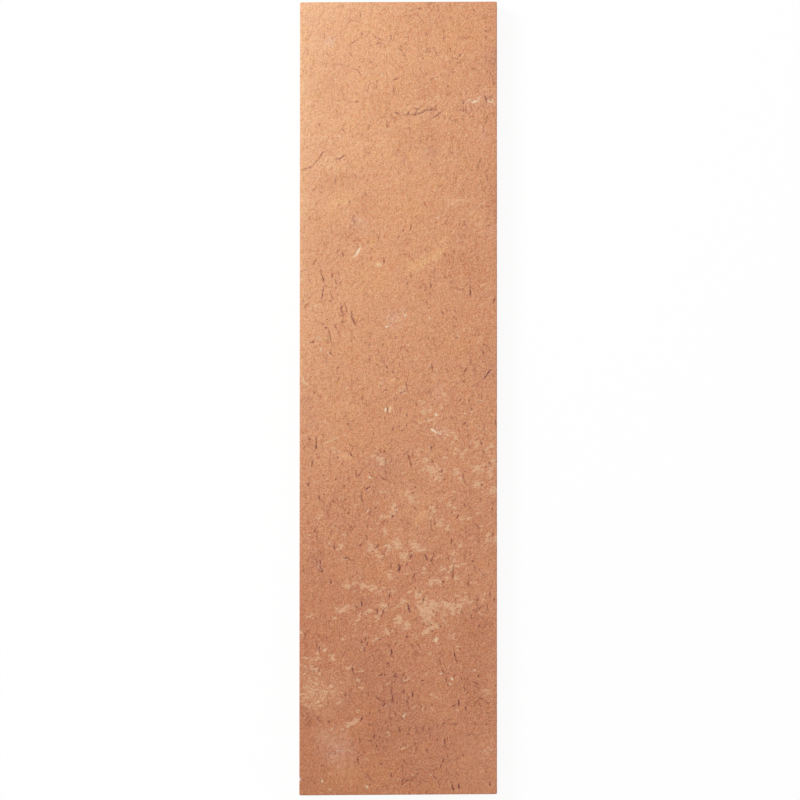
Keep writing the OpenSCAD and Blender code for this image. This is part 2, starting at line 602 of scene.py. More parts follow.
        (.5,-60,2,92,1), (3,-59,1,60,.6), (32,-59,1,90,.5), (19.5,-61.5,3,88,.7), (19,-63,1.5,90,.5),
        (29.5,-62,3,132,.5), (5.5,-63,1.5,75,.75), (6,-64.5,1,90,.6), (16,-65,.5,120,.95),
        (16,-67,1,140,.4), (25,-65.5,2,92,.45), (25.5,-70.5,2,95,.35), (-13,-72.5,1.5,92,1),
        (-7.5,-75.5,1.5,80,.7), (-5.5,-76,2,80,.85), (-3.5,-73.5,1,80,.6), (-22,-73.5,1.5,135,.35),
        (-30,-70,2,120,.35), (-27.5,-71.5,1,100,.4), (-15,-68.5,.5,60,.55), (9,-71.5,1,80,.65),
        (3.5,-74,1.5,100,1), (4,-75.5,1,95,.8), (28,-71.5,2,80,.6), (28,-73.5,1,110,.5),
        (29,-74.5,1,45,.6), (30,-73.5,1,30,.4), (31.5,-74,1.5,75,.6), (31.5,-75,.5,30,.9),
        (32.5,-70,2.5,100,.45), (34,-72,1,90,.5), (21,-74.5,.5,30,.55), (26,-77,1,90,.5),
        (28.5,-81,2,60,.35), (31,-81,1.5,45,.35), (15,-81,.5,0,.85), (12,-82.5,.5,90,.9),
        (3,-84.5,.5,60,.8), (-2.5,-81.5,.5,0,.6), (7.5,-88,.5,90,.5), (-33,-84,1,110,.8),
        (-34,-82.5,2,140,.35), (-29,-87,2,95,.45), (-28,-88.5,1,90,.7), (-24,-86.5,.5,90,.5),
        (-25.5,-84.5,.5,0,.5), (-12,-89,1.5,95,.8), (-11,-87,1,85,.45), (-2.5,-90,2,90,1),
        (-3,-88,1,80,.5), (-1,-87,1,70,.4), (-1,-89.5,1,70,.4), (-9,-91,1.5,115,.4), (-8.5,-92.5,1,90,.4),
        (-19,-90,1,60,.45), (-13.5,-79,1,20,.5), (-7,-85.5,1.5,15,.45), (-4.5,-89,.5,0,.5),
        (-32,-91.5,1,120,.4), (20,-91,1.5,100,.9), (20.5,-92.5,1.5,110,.6), (22,-89,1,60,.5),
        (15,-93.5,1.5,100,.6), (15.5,-96,1,105,.6), (16,-97,1,120,.55), (-28,-96.5,1,100,.55),
        (-16,-96,1,95,.75), (-15.5,-97.5,1.5,115,.4), (-15,-99,1.5,95,.35), (-6,-98,1,20,.95),
        (-1,-98,1,60,.6), (-1,-98.5,1,0,.8), (-4.5,-98,1,0,.5), (-3.5,-94,1,0,.45), (2,-97.5,1,60,.65),
        (17,-100,1,90,1), (8.5,-100,.5,0,.9), (8.5,-101.5,.5,0,.45), (28.5,-98.5,.5,0,.8),
        (22.5,-99.5,1.5,118,.5), (27.5,-101,1.5,150,.65), (28,-102.5,2,160,.4), (23.5,-103,1,110,.6),
        (24.5,-104.5,1,60,.6), (27,-104.5,1,90,.5), (-14.5,-102,1,85,.4), (-5,-102.5,1.5,110,.4),
        (-2.5,-103.5,1.5,85,.55), (-18.5,-105,1,100,.45), (-10.5,-105,1,85,.55), (-8,-105.5,2,120,.4),
        (-6.5,-107,2.5,125,.55), (-5,-108.5,1,45,1), (-5,-107,1,80,.5), (-2,-106,2,92,.55),
        (5,-105,1.5,90,.85), (2,-104,1,80,.5), (3.5,-106,.5,90,.55), (3,-107.5,.5,30,.95),
        (3.5,-108.5,1,90,.65), (29,-106.5,2,148,.6), (29,-109,1,140,.4), (31.5,-108,1,130,.65),
        (21.5,-108,1.5,92,.8), (21.5,-109,.5,120,.45), (19.5,-109,1,30,.55), (8,-109.5,.5,0,.95),
        (9.5,-110,.5,60,.6), (24,-110,1,88,.65), (12,-108.5,.5,0,.5), (7.5,-108.5,1,90,.35),
        (31.5,-111.5,1.5,140,.45), (27.5,-111.5,.5,0,.5), (1.5,-113.5,.5,0,.75), (-1,-112,1,120,.5),
        (-28.5,-113.5,2,130,.45), (-28.5,-113,1,0,.4), (-24.5,-114.5,1,95,.65), (-13,-113.5,1,60,.85),
        (-6.5,-114,.5,0,.6), (-2.5,-113.5,.5,0,.75), (-3,-112,1.5,100,.35), (-10,-115.5,1.5,165,.4),
        (-9,-115.5,.5,0,.5), (-4.5,-115,.5,30,.65), (-3.5,-117,1,95,.5), (-8.5,-119.5,1,70,.8),
        (-8.5,-120.5,1,80,.5), (-6.5,-120,1,80,.45), (-4,-119,1,20,.5), (-4,-121,1,150,.4),
        (16.5,-115,2.5,35,.55), (18,-114,1.5,25,.5), (12,-114.5,1.5,150,.4), (14,-116,.5,0,.45),
        (20,-115.5,2,3,.5), (4,-117,1.5,90,.45), (3.5,-119,.5,10,.75), (.5,-117.5,1.5,95,.8),
        (6.5,-118,1,70,1), (6.5,-117,1,100,.5), (9,-117,1.5,100,.35), (11,-117,1.5,85,.55),
        (11.5,-119.5,1,60,.45), (20,-120,1,10,.55), (14,-121,.5,100,.65), (25,-119.5,3,12,.4),
        (29,-119,3,8,.3), (-13.5,-121,1,95,.5), (-13.5,-122,.5,30,.6), (-7.5,-123.5,.5,30,.75),
        (-7,-124.5,1,100,.5), (-5,-124,1,90,.4), (-14,-128.5,1.5,100,.6), (-14,-129.5,1,0,.4),
        (-6,-129.5,.5,25,1), (-27,-130,.5,60,.55), (-2.5,-133.5,1.5,95,.8), (-8.5,-130.5,1,140,.45),
        (-10.5,-134,4,132,.35), (-10,-137,.5,0,.7), (-4,-138,1.5,112,.5), (16.5,-121.5,1.5,100,.65),
        (16.5,-122.5,1,105,.65), (6,-122.5,.5,120,.5), (10.5,-125,1,110,.65), (17.5,-127,.5,90,.65),
        (16,-128.5,1,70,1), (16,-129,.5,0,.9), (15,-130.5,1,60,.55), (18,-128.5,1,135,.4),
        (23,-126.5,.5,150,.55), (2,-128.5,1,60,.4), (1.5,-131.5,3,92,.35), (17,-131.5,1,110,.4),
        (18,-133,1,100,.4), (12.5,-132.5,1,115,.35), (7,-133,1,30,.65), (5.5,-134.5,.5,0,.6),
        (3,-135.5,1,15,.85), (5,-135.5,1,10,.4), (13,-134.5,2,140,.45), (14.5,-136.5,2,120,.35),
        (9.5,-135.5,1.5,150,.35), (20.5,-133,.5,90,.4), (1.5,-137,1,100,.45), (19,-137.5,1.5,95,.85),
        (19.5,-138.5,1,110,.85), (21.5,-137.5,1.5,88,.85), (32.5,-137,1,80,.65), (10,-139.5,1,90,.55),
        (31,-132.5,1,140,.35), (25,-123.5,.5,150,.4),
    )
    # Straw, lime specks and other pale bits.
    STRAWS = (
        (-14.5,52,4,.7,61,1), (12.5,-11.5,2.5,.8,145,1), (14.5,-12.5,1.5,.4,135,.7),
        (-23,-14.5,4,.3,25,.35), (-25.5,-15.5,1.5,.4,20,.5), (-22,-14,1.5,.4,25,.6), (-19,-13,.5,.5,0,.5),
        (-4.5,-4,1.5,.7,82,1), (2.5,29.5,.7,.6,90,1), (-4,25.5,1,.7,20,1), (13.5,-6,.9,.8,150,1),
        (23.5,-5.5,.7,.6,90,.6), (26,-5,.6,.6,90,.5), (31,-11,.7,.6,90,.5), (14,64,.8,.6,20,.6),
        (-21,93,1,.6,10,.6), (-27.5,17.5,1.2,.5,95,.6), (-10,-28,1,.7,0,.7), (-12,-29.5,.6,.5,0,.4),
        (-26,-89,1.2,.6,50,.75), (19,-99.5,1.4,.6,120,.85), (27,-96.5,.8,.6,90,.6),
        (2,-112.5,1.8,.5,62,.6), (13.5,-106,.5,.5,0,.5), (-27,-135.5,.9,.7,45,.75),
        (-11,-137.5,1.2,.7,150,.7), (-24,-138.5,.8,.7,0,.35), (11.5,-133.5,1,.4,0,.35),
        (27,105,2.4,.6,12,.95), (25,105.5,1.6,.4,20,.6), (28.5,106,2,.4,60,.6), (32.5,105,1.8,.5,160,.85),
        (33.5,105.5,1.4,.4,130,.5), (31,110,1.5,.4,60,.5), (29,32.5,.5,.5,0,.3), (-29.5,33,1.6,.4,15,.5),
        (-31,32,1.4,.4,70,.4), (-33.5,6.5,2.6,.4,110,.5), (13.5,-85.5,1,.7,95,.7), (24,93,.7,.6,90,.4),
        (29,117,.5,.5,0,.6), (26,65.5,2.5,.4,30,.4), (34,104,1.5,.4,90,.4), (23.5,-69,.5,.5,0,.5),
        (24,-70.5,.5,.5,0,.4), (16,-78.5,3.5,.4,118,.35), (-22.5,113,.7,.4,20,.6), (-11,123,.5,.4,0,.4),
        (0,121.5,.5,.5,0,.4), (12,133.5,1,.4,160,.4), (22,127.5,.5,.4,0,.4), (29.5,-1,3,.4,175,.3),
        (-7,47.5,2.2,.9,170,.4), (-3,-4,1.6,.7,95,.5),
    )
    # Patches of pale slip.
    BUFFS = (
        (16,1,1.5,1.5,0,.7), (8.5,-1.5,2,1.5,80,.6), (12,-2.5,1,1.5,90,.5), (1.5,3,2,1.5,20,.6),
        (11,-4,3,1.5,50,.4), (13.5,-5,1.5,1,0,.4), (11.5,-7.5,2.5,1.5,10,.4), (7,-9.5,2,1.5,0,.4),
        (8.5,-5,1.5,1.5,0,.5), (15,-3,1.5,.5,60,.5), (16.5,-12,1.5,4,90,.6), (12,8,1,1,0,.4),
        (10,-22,2,1.5,70,.8), (12,-25.5,6,2,170,1), (10,-24.5,1.5,1.5,0,.8), (14.5,-25,2,1,30,.8),
        (13.5,-28.5,2.5,1.5,0,.8), (16.5,-21.5,2,1.5,45,.7), (7,-19,1.5,2.5,90,.4),
        (21.5,-19.5,3.5,1,130,.85), (20.5,-26.5,2.5,2,130,.85), (22,-29,3,1,130,.75),
        (19.5,-25.5,1.5,1,20,.6), (26.5,-24.5,2,1,150,.8), (28,-25,3,2,0,.9), (30.5,-24,2,1,30,.7),
        (33,-25.5,2.5,1.5,60,.9), (32.5,-27,1.5,1,0,.7), (33,-22,2,1.5,100,.6), (28,-30.5,2.5,2,0,.8),
        (32.5,-33.5,3,1,10,1), (34,-32.5,1.5,2,60,.9), (4.5,-35,3,1.5,130,1), (3,-33.5,2,1,10,.8),
        (32.5,-17,1,2.5,0,.7), (31.5,-19,1,1.5,0,.7), (28,-16.5,2,1.5,0,.7), (20,-14.5,2.5,1,100,.5),
        (-6.5,-22,3.5,1.5,140,.9), (-8.5,-20.5,1.5,1,60,.6), (-6,-33,1.5,1,0,.6), (-3,-33.5,1,1,0,.6),
        (-2,-39.5,4,1.5,80,.95), (-5,-42,1.5,1,160,.7), (-6.5,-43,1,1,60,.6), (-4.5,-47,1.5,1.5,60,.6),
        (18.5,-37.5,2,1,0,.8), (15.5,-35.5,1.5,1,45,.5), (12,-40,1.5,3,30,.7), (13,-38.5,1,1,60,.6),
        (27.5,-39,1,.5,0,.6), (24,-42.5,3,1,15,.8), (15,-43,2.5,1.5,30,.7), (14.5,-45,1,1,0,.9),
        (18,-46,2,1.5,160,.95), (31.5,-49,1,1,0,.9), (32,-50.5,1,1.5,90,.8), (34.5,-50,1.5,2,0,1),
        (22,-52,1,1,0,.7), (20,-54.5,2,1,45,.5), (24.5,-50.5,1,.5,0,.5), (-1,-51.5,2.5,2.5,0,1),
        (.5,-53,3,1.5,160,1), (-3.5,-52.5,1.5,2.5,0,.95), (6,-52.5,3.5,2,150,1), (8,-53.5,3,1.5,10,.95),
        (4.5,-51.5,1.5,1,30,.7), (2.5,-56,2.5,2,160,1), (-4.5,-55,1.5,1,130,.7), (-9,-53,2.5,1.5,135,.85),
        (-10.5,-51,1,1.5,20,.8), (-20.5,-52,2,1,50,.7), (-24.5,-51,1.5,1.5,60,.6), (-19,-48,1,.5,0,.6),
        (-7,-56,2,2,0,.5), (-28.5,-58,1,1.5,0,.6), (-19.5,-57,1,2,0,.5), (-3,-63,1.5,2.5,0,.7),
        (18.5,-60.5,2.5,1.5,20,1), (19.5,-57,2,1,100,.8), (19,-58.5,1.5,1,90,.8),
        (21.5,-59.5,2.5,.5,25,.9), (15.5,-60.5,2,1,150,.7), (8,-61,3,1,15,.8), (9.5,-59.5,1,1,0,.7),
        (-18,-66,3,1.5,25,.7), (-15,-65,4,1,15,.6), (-11,-66.5,5,1.5,160,.7), (-7.5,-68,3,1,140,.75),
        (-2.5,-68.5,2.5,1.5,20,.7), (-16,-68.5,1,1,90,.6), (14,-65,3,1.5,165,1),
        (11.5,-65.5,1.5,1.5,60,.8), (17,-64,1,2,90,.5), (21,-63.5,1.5,1,0,.8), (23,-65.5,1,1,0,.6),
        (3.5,-68.5,1,1,0,.7), (7.5,-69.5,2.5,2,110,.7), (8,-72,2.5,1,30,.7), (30,-69.5,1.5,1,0,.35),
        (2.5,-72,2.5,1,140,.65), (3,-74,1.5,1,90,.7), (.5,-73.5,2,1,20,.6), (-5,-73.5,2,1.5,60,.65),
        (-7,-76.5,2,1.5,90,.65), (11.5,-73.5,4.5,3,170,1), (10.5,-76,4,4,0,1), (10.5,-78.5,2.5,3,0,1),
        (8.5,-76.5,1.5,2,0,.9), (7.5,-74.5,2,1,120,.6), (17,-73,5,2,165,1), (19.5,-74.5,4,2,150,1),
        (20.5,-74,3,1.5,30,1), (22.5,-72.5,3,1,40,.8), (16.5,-76,2,1,120,.6), (19.5,-76,1.5,1.5,0,.8),
        (25.5,-72.5,2,1,0,.4), (23,-74,1,1,0,.5), (10.5,-82.5,4,1,35,.85), (13.5,-81,2,1,150,.8),
        (9.5,-83,2,1,0,.9), (0,-78.5,2.5,2,10,1), (3,-80.5,2,2,0,1), (-1.5,-79.5,1,1,60,.6),
        (-4,-83,2.5,1,30,.9), (13.5,-85.5,1.5,2,0,1), (19,-84,2.5,1,120,.7), (6,-84.5,1.5,1,130,.6),
        (21,-88.5,1.5,1,130,.6), (-19,-74.5,3.5,1.5,20,.7), (-16.5,-73.5,1,1,60,.6),
        (-22,-74.5,2.5,.5,135,.5), (-15,-79,2.5,1.5,30,.65), (-12.5,-77,2,1,20,.65),
        (-10.5,-75.5,2.5,1,40,.55), (-31.5,-76.5,2,1.5,0,.8), (-23,-78,1,1,0,.5),
        (-14.5,-81.5,1,1.5,0,.55), (-19.5,-85.5,1.5,1,60,.8), (-34.5,-83,1.5,2,0,.8), (-8,-85.5,1,1,0,.6),
        (-1.5,-80.5,1,1.5,0,.6), (-28.5,-90.5,1,3,160,.75), (-29,-92.5,3,1,20,.75), (-32.5,-92,2,1,0,.7),
        (-23,-91.5,2,1,130,.7), (-13,-88.5,1,1.5,0,.6), (-33,-95,2,1,0,.7), (-29,-96,1.5,1.5,45,.9),
        (-30.5,-94.5,2,1,150,.6), (-23,-93,1.5,1.5,60,.6), (-17.5,-95,2,.5,160,.8),
        (-13.5,-96.5,1.5,.5,170,.8), (-13,-102,1,1,0,.5), (-33,-98,2,1,0,.6), (-18.5,-116,3,1.5,15,1),
        (-16.5,-115,3,1,35,.9), (-14.5,-114.5,2,.5,15,.7), (-14,-111,1,1,0,.5), (-20.5,-107.5,2,.5,20,.7),
        (9.5,-110,1,1,0,.6), (5.5,-109.5,1,1,0,.5), (21,-105,1,1,0,.6), (13.5,-98,1,.5,0,.4),
        (31,-104,2,1.5,0,.4), (30.5,-125,3,1,150,.4), (32.5,-124.5,1,1,0,.5), (2,-123.5,2,1,0,.4),
        (-30,-100,5,4,0,.2), (-25,-103,8,3,20,.25), (-27,-106.5,7,3,10,.25), (-31,-103,5,3,160,.35),
        (-29.5,-108,5,3,20,.2), (-22,-104,4,3,0,.15), (-33,-105,3,4,90,.2),
    )
    # Thin films of pale slip and of rubbed sand.
    FILMS = (
        (-28,-104,17,13,25,.5), (-24,-118.5,9,5,170,.3), (6.5,-50,6,4,0,.3), (5,-40,16,11,75,.27),
        (31,-27,8,20,0,.1), (-25,82,9,3,170,.7), (-26.5,83,7,3,5,.45), (-16,88.5,11,2.5,28,.5),
        (-22,99.5,8,3,0,.3), (18,86,8,6,0,.15), (14.5,55.5,5,3,10,.3), (28,64,8,6,140,.2),
        (20.5,69.5,4.5,3,0,1), (30,-124,8,6,160,.1), (32,-103,4,8,0,.27), (11,-76,10,9,0,.12),
        (19,-73.5,10,5,0,.22), (-4,90,6,5,0,.2), (-20,69.5,8,2.5,15,.75), (-17,72,9,2.5,30,.35),
        (-26,-18,9,3,70,.35), (-18,-3,5,4,0,.35), (-20,-132,6,5,0,.25), (-34.5,75,130,3,90,.35),
        (-34.5,5,30,2.5,90,.2), (7,101.5,18,7,8,.35), (-20,27,10,8,100,.15),
    )
    # Smears of ochre slip.
    OCHRES = (
        (6,47,5,4,40,.72), (9,48,7,4,25,.62), (12.5,50,7,3,28,.7), (16,52.5,5,2,40,.7),
        (-7,47.5,3,1.8,15,1), (-2.5,6.5,1.6,1.2,45,.8), (0,6,2,1,0,.5), (-18.5,-20.5,4.5,2.2,155,.7),
        (-22.5,-17.5,2,1,150,.4), (8,-42,6,4,20,.4), (28.5,-16,2.5,1.5,0,.5), (-3,-4,1.5,2.6,0,1),
        (3.5,66.5,8,4,10,.15), (-20,69.5,8,2,15,.9), (17.5,101,3,3,0,.4),
    )
    # Yellower clouds.
    AMBERS = (
        (25,131,14,11,0,.8), (-26,65,9,4,0,.5), (-17,72,9,2.5,30,.5), (3,66,13,6,0,1), (13,64.5,5,3,0,.6),
        (-8,42,12,7,60,1), (22,19,10,7,0,1), (-20,-4,16,8,0,.7), (-18,-3,5,4,0,.6), (-25,-4,4,5,0,.6),
        (-15,-14,14,8,0,.6), (-7,-61.5,7,6,0,1), (8,-42,4,5,0,.5), (-15,-117,13,9,160,.3),
        (-17,-133,12,9,160,1), (-20,-132,6,5,0,.8), (-6,-132,10,9,0,.9), (13,-108,10,9,0,.3),
        (-5,105,10,9,0,.3), (17.5,101,3,3,0,.8), (-22,-60,8,10,0,.3), (-17,15,6,5,0,1.2),
        (5,122,10,5,0,.3), (25,-84,6,5,0,.4), (-2,-139,18,4,0,.4), (14,-138,8,4,0,.6),
    )
    # Hotter, redder clouds.
    EMBERS = (
        (-25,131,16,14,90,.25), (-16.5,133.5,5,4,0,.45), (-25,112,16,11,90,.55), (-15.5,127,5,2,30,.2),
        (8,133,16,8,0,.25), (9,109,12,9,0,.4), (10.5,109,5,4,0,.6), (17,110,5,7,0,.3), (-5,105,9,9,0,.4),
        (2.5,91.5,9,6,90,.4), (10.5,94.5,8,6,90,.6), (-23,77,12,7,0,.7), (-15,79,6,5,0,.3),
        (-11,69,8,7,0,.5), (-26,55,20,11,85,.5), (-20,58,9,8,0,.55), (33.5,71,10,4,90,.7),
        (24,47,11,9,0,.5), (19,58,4,4,0,.15), (-20,15,20,18,0,.1), (30,16,6,5,0,.25),
        (29,-45,20,10,100,.3), (-14,-38,18,14,0,.2), (3,-44.5,4,3,0,1), (13,-57,8,7,0,.4),
        (27,-84,10,12,0,.7), (27,-102,22,12,95,.6), (-27,-96,12,3,5,.45), (-33,-112,6,5,0,1.3),
        (-13,-97,6,5,0,.35),
    )
    # Purplish clouds.
    MAUVES = (
        (13,100.5,7,4,10,.15), (34,119,10,4,90,.9), (-27,88,8,5,0,.3), (-15,60.5,8,4,0,.5),
        (32,8.5,4,4,0,.5), (-33,-2,14,6,90,.4), (-4,-25,9,8,80,.6), (-29.5,-17,5,4,0,.5),
        (-13,-72.5,5,3,0,.6), (29.5,-73,7,6,0,.1), (-9,-93,12,8,0,.2), (-15,-98,6,5,0,.4),
        (1,-99,8,6,0,.15), (-2,-106,12,8,80,.7), (-5,-119,9,8,90,.5), (11,-118,9,6,10,.6),
        (16,-125,6,7,0,.4), (3,-112,12,8,90,.5), (8,-132,7,6,0,.35), (-18,-105,4,3,0,.8),
        (-27.5,-58,7,3,100,1), (12,86,5,3,0,1), (10,122,4,3,0,.6),
    )
    # The bloom of lime, a pale film on the clay.
    HAZES = (
        (-24.5,126.5,3,3,0,.7), (-14.5,62.5,5,3,0,.5), (-1,28.5,6,4.5,20,.4), (33,59,6,4,140,.15),
        (29,105,11,5,8,.2), (31,93,3,3,0,.4), (14,2,5,3.5,120,.3), (15.5,-12,7,5,120,.18),
        (34,-50,5,4,90,.1), (-22,-124,11,8,150,.33), (-21,-123.5,5,1.5,150,.95), (-18.5,-124,3.5,1,165,.9),
        (-23,-126,6,1.5,150,.4), (-23,-128,4,1,170,.45), (-24,-120,5,1.5,170,.35),
    )
    # Places where the die rubbed the face smooth.
    RUBS = (
        (-28,-126,40,30,90,.6), (27,-126,30,26,90,.45), (-27,-75,20,16,90,.35), (-28,113,70,30,90,.4),
    )
    PATCHES = {
        MarkKind.STRAW: STRAWS,
        MarkKind.BUFF: BUFFS,
        MarkKind.FILM: FILMS,
        MarkKind.OCHRE: OCHRES,
        MarkKind.AMBER: AMBERS,
        MarkKind.EMBER: EMBERS,
        MarkKind.MAUVE: MAUVES,
        MarkKind.HAZE: HAZES,
        MarkKind.RUB: RUBS,
    }
    # How many small tears there are in a square centimetre: the height, then the left, middle and right.
    CROWDS = (
        (130, 1, 4, 3), (110, 1, 3, 4), (90, 1, 3, 3), (70, 3, 2, 4), (50, 3, 2, 3),
        (30, 3, 2, 3), (10, 3, 3, 2), (-10, 2, 3, 3), (-30, 3, 3, 3), (-50, 2, 3, 3),
        (-70, 2, 3, 3), (-90, 3, 4, 2), (-110, 1, 3, 3), (-130, 0.5, 3, 2),
    )
    # The same for small flecks of slip and the strays between them.
    FLECKS = (
        (130, 0, 1.5, 4), (110, 0.5, 2.5, 5), (90, 1.5, 2.5, 4), (70, 1.5, 1.5, 4), (50, 1, 1.5, 3),
        (30, 2, 1.5, 2), (10, 3, 3, 2.5), (-10, 2.5, 4, 5), (-30, 3, 5, 6), (-50, 3, 6, 5),
        (-70, 2, 4, 4), (-90, 2, 3, 2), (-110, 2, 2, 2), (-130, 1, 1, 1),
    )

    def all_marks(self) -> list[Mark]:
        """Lists the marks that stand out, and the small ones scattered between them.

        Returns:
            Every mark.
        """
        marks = [Mark(MarkKind.CHIP, -self.width / 2, self.chip_place, *self.chip_size, self.chip_turn)]
        marks += [
            Mark(MarkKind.TEAR, x, y, length, self.tear_width, turn, strength)
            for x, y, length, turn, strength in self.TEARS
        ]
        for kind, rows in self.PATCHES.items():
            spread, floor = (self.patch_spread, self.patch_floor) if kind is MarkKind.BUFF else (0.0, 0.0)
            marks += [
                Mark(kind, x, y, length + spread, width + spread, turn, floor + (1 - floor) * strength)
                for x, y, length, width, turn, strength in rows
            ]
        draw = random.Random(self.seed)
        return marks + self._scattered_tears(draw) + self._scattered_flecks(draw)

    def _spots(self, draw: random.Random, crowds: Sequence[tuple[float, ...]]) -> Iterable[Span]:
        """Draws places on the face.

        Args:
            draw: where the chances come from.
            crowds: how many there are to a square centimetre, as rows like those of the tables.

        Yields:
            The x and y of each place.
        """
        part_width, spread = self.width / 3, self.part_spread
        for middle, *counts in crowds:
            for part, count in enumerate(counts):
                for _ in range(round(count * part_width * self.part_length / SQUARE_CENTIMETRE)):
                    x = (part - 1 + draw.uniform(-spread, spread)) * part_width
                    y = middle + draw.uniform(-spread, spread) * self.part_length
                    if max(abs(x) - self.width / 2, abs(y) - self.length / 2) < -self.clear_of_edge:
                        yield x, y

    def _scattered_tears(self, draw: random.Random) -> list[Mark]:
        """Scatters small tears, mostly upright, where the clay tore as the die lifted.

        Args:
            draw: where the chances come from.

        Returns:
            The tears.
        """
        tears = []
        shortest, longest = self.small_tear_lengths
        for x, y in self._spots(draw, self.CROWDS):
            leaning = drift(np.array([[x, y]]), self.lean_cell, self.lean_seed)[0, 0]
            lean = self.lean + self.lean_drift * leaning
            strength = draw.uniform(*self.small_tear_strengths)
            for _ in range(draw.choice((1, 1, 2))):
                length = min(longest, shortest + draw.expovariate(self.small_tear_rarity))
                turn = draw.gauss(lean, self.lean_spread)
                tears.append(Mark(MarkKind.TEAR, x, y, length, self.tear_width, turn, strength))
                x += self.tear_overlap * length * math.cos(math.radians(turn))
                y += self.tear_overlap * length * math.sin(math.radians(turn))
        return tears

    def _scattered_flecks(self, draw: random.Random) -> list[Mark]:
        """Scatters small flecks of pale slip, and a few stray straw ends and grains of lime.

        Args:
            draw: where the chances come from.

        Returns:
            The flecks and the strays.
        """
        flecks = []
        for x, y in self._spots(draw, self.FLECKS):
            if draw.random() < self.stray_share:
                kind, length, width = MarkKind.STRAW, draw.uniform(*self.stray_lengths), self.straw_width
                strength = draw.uniform(*self.stray_strengths)
            else:
                kind, length = MarkKind.BUFF, draw.uniform(*self.fleck_lengths)
                width = length * draw.uniform(*self.fleck_widths)
                strength = draw.uniform(*self.fleck_strengths)
            flecks.append(Mark(kind, x, y, length, width, draw.uniform(0, 180), strength))
        return flecks


def marks_near(
    marks: Iterable[Mark], places: np.ndarray
) -> Iterable[tuple[Mark, np.ndarray, np.ndarray]]:
    """Goes through marks with the places near each of them.

    Args:
        marks: the marks.
        places: rows whose first two numbers are x and y.

    Yields:
        For each mark, the rows that are near it, and their places with its kind's wander.
    """
    order = np.argsort(places[:, 1])
    heights = places[order, 1]
    moved = {}
    for mark in marks:
        if mark.kind not in moved:
            moved[mark.kind] = wandered(mark.kind, places[order])
        span = max(mark.length, mark.width) + WANDER_ROOM
        near = slice(*np.searchsorted(heights, (mark.y - span, mark.y + span)))
        yield mark, order[near], moved[mark.kind][near]


def cover_of(marks: Iterable[Mark], kind: MarkKind, places: np.ndarray) -> np.ndarray:
    """Finds the strongest cover at each place by the marks of one kind.

    Args:
        marks: marks of any kind.
        kind: the kind that counts.
        places: rows whose first two numbers are x and y.

    Returns:
        One number for each place.
    """
    cover = np.zeros(len(places))
    for mark, near, moved in marks_near((mark for mark in marks if mark.kind is kind), places):
        cover[near] = np.maximum(cover[near], mark.cover(moved))
    return cover


@dataclass(frozen=True)
class ReliefCoat:
    """One coat of relief: the vertex group that it follows, its depth, and its grain where it has one."""

    group: str
    depth: float
    grain: float = 0.0
    octaves: int = 0
    direction: str = "Z"


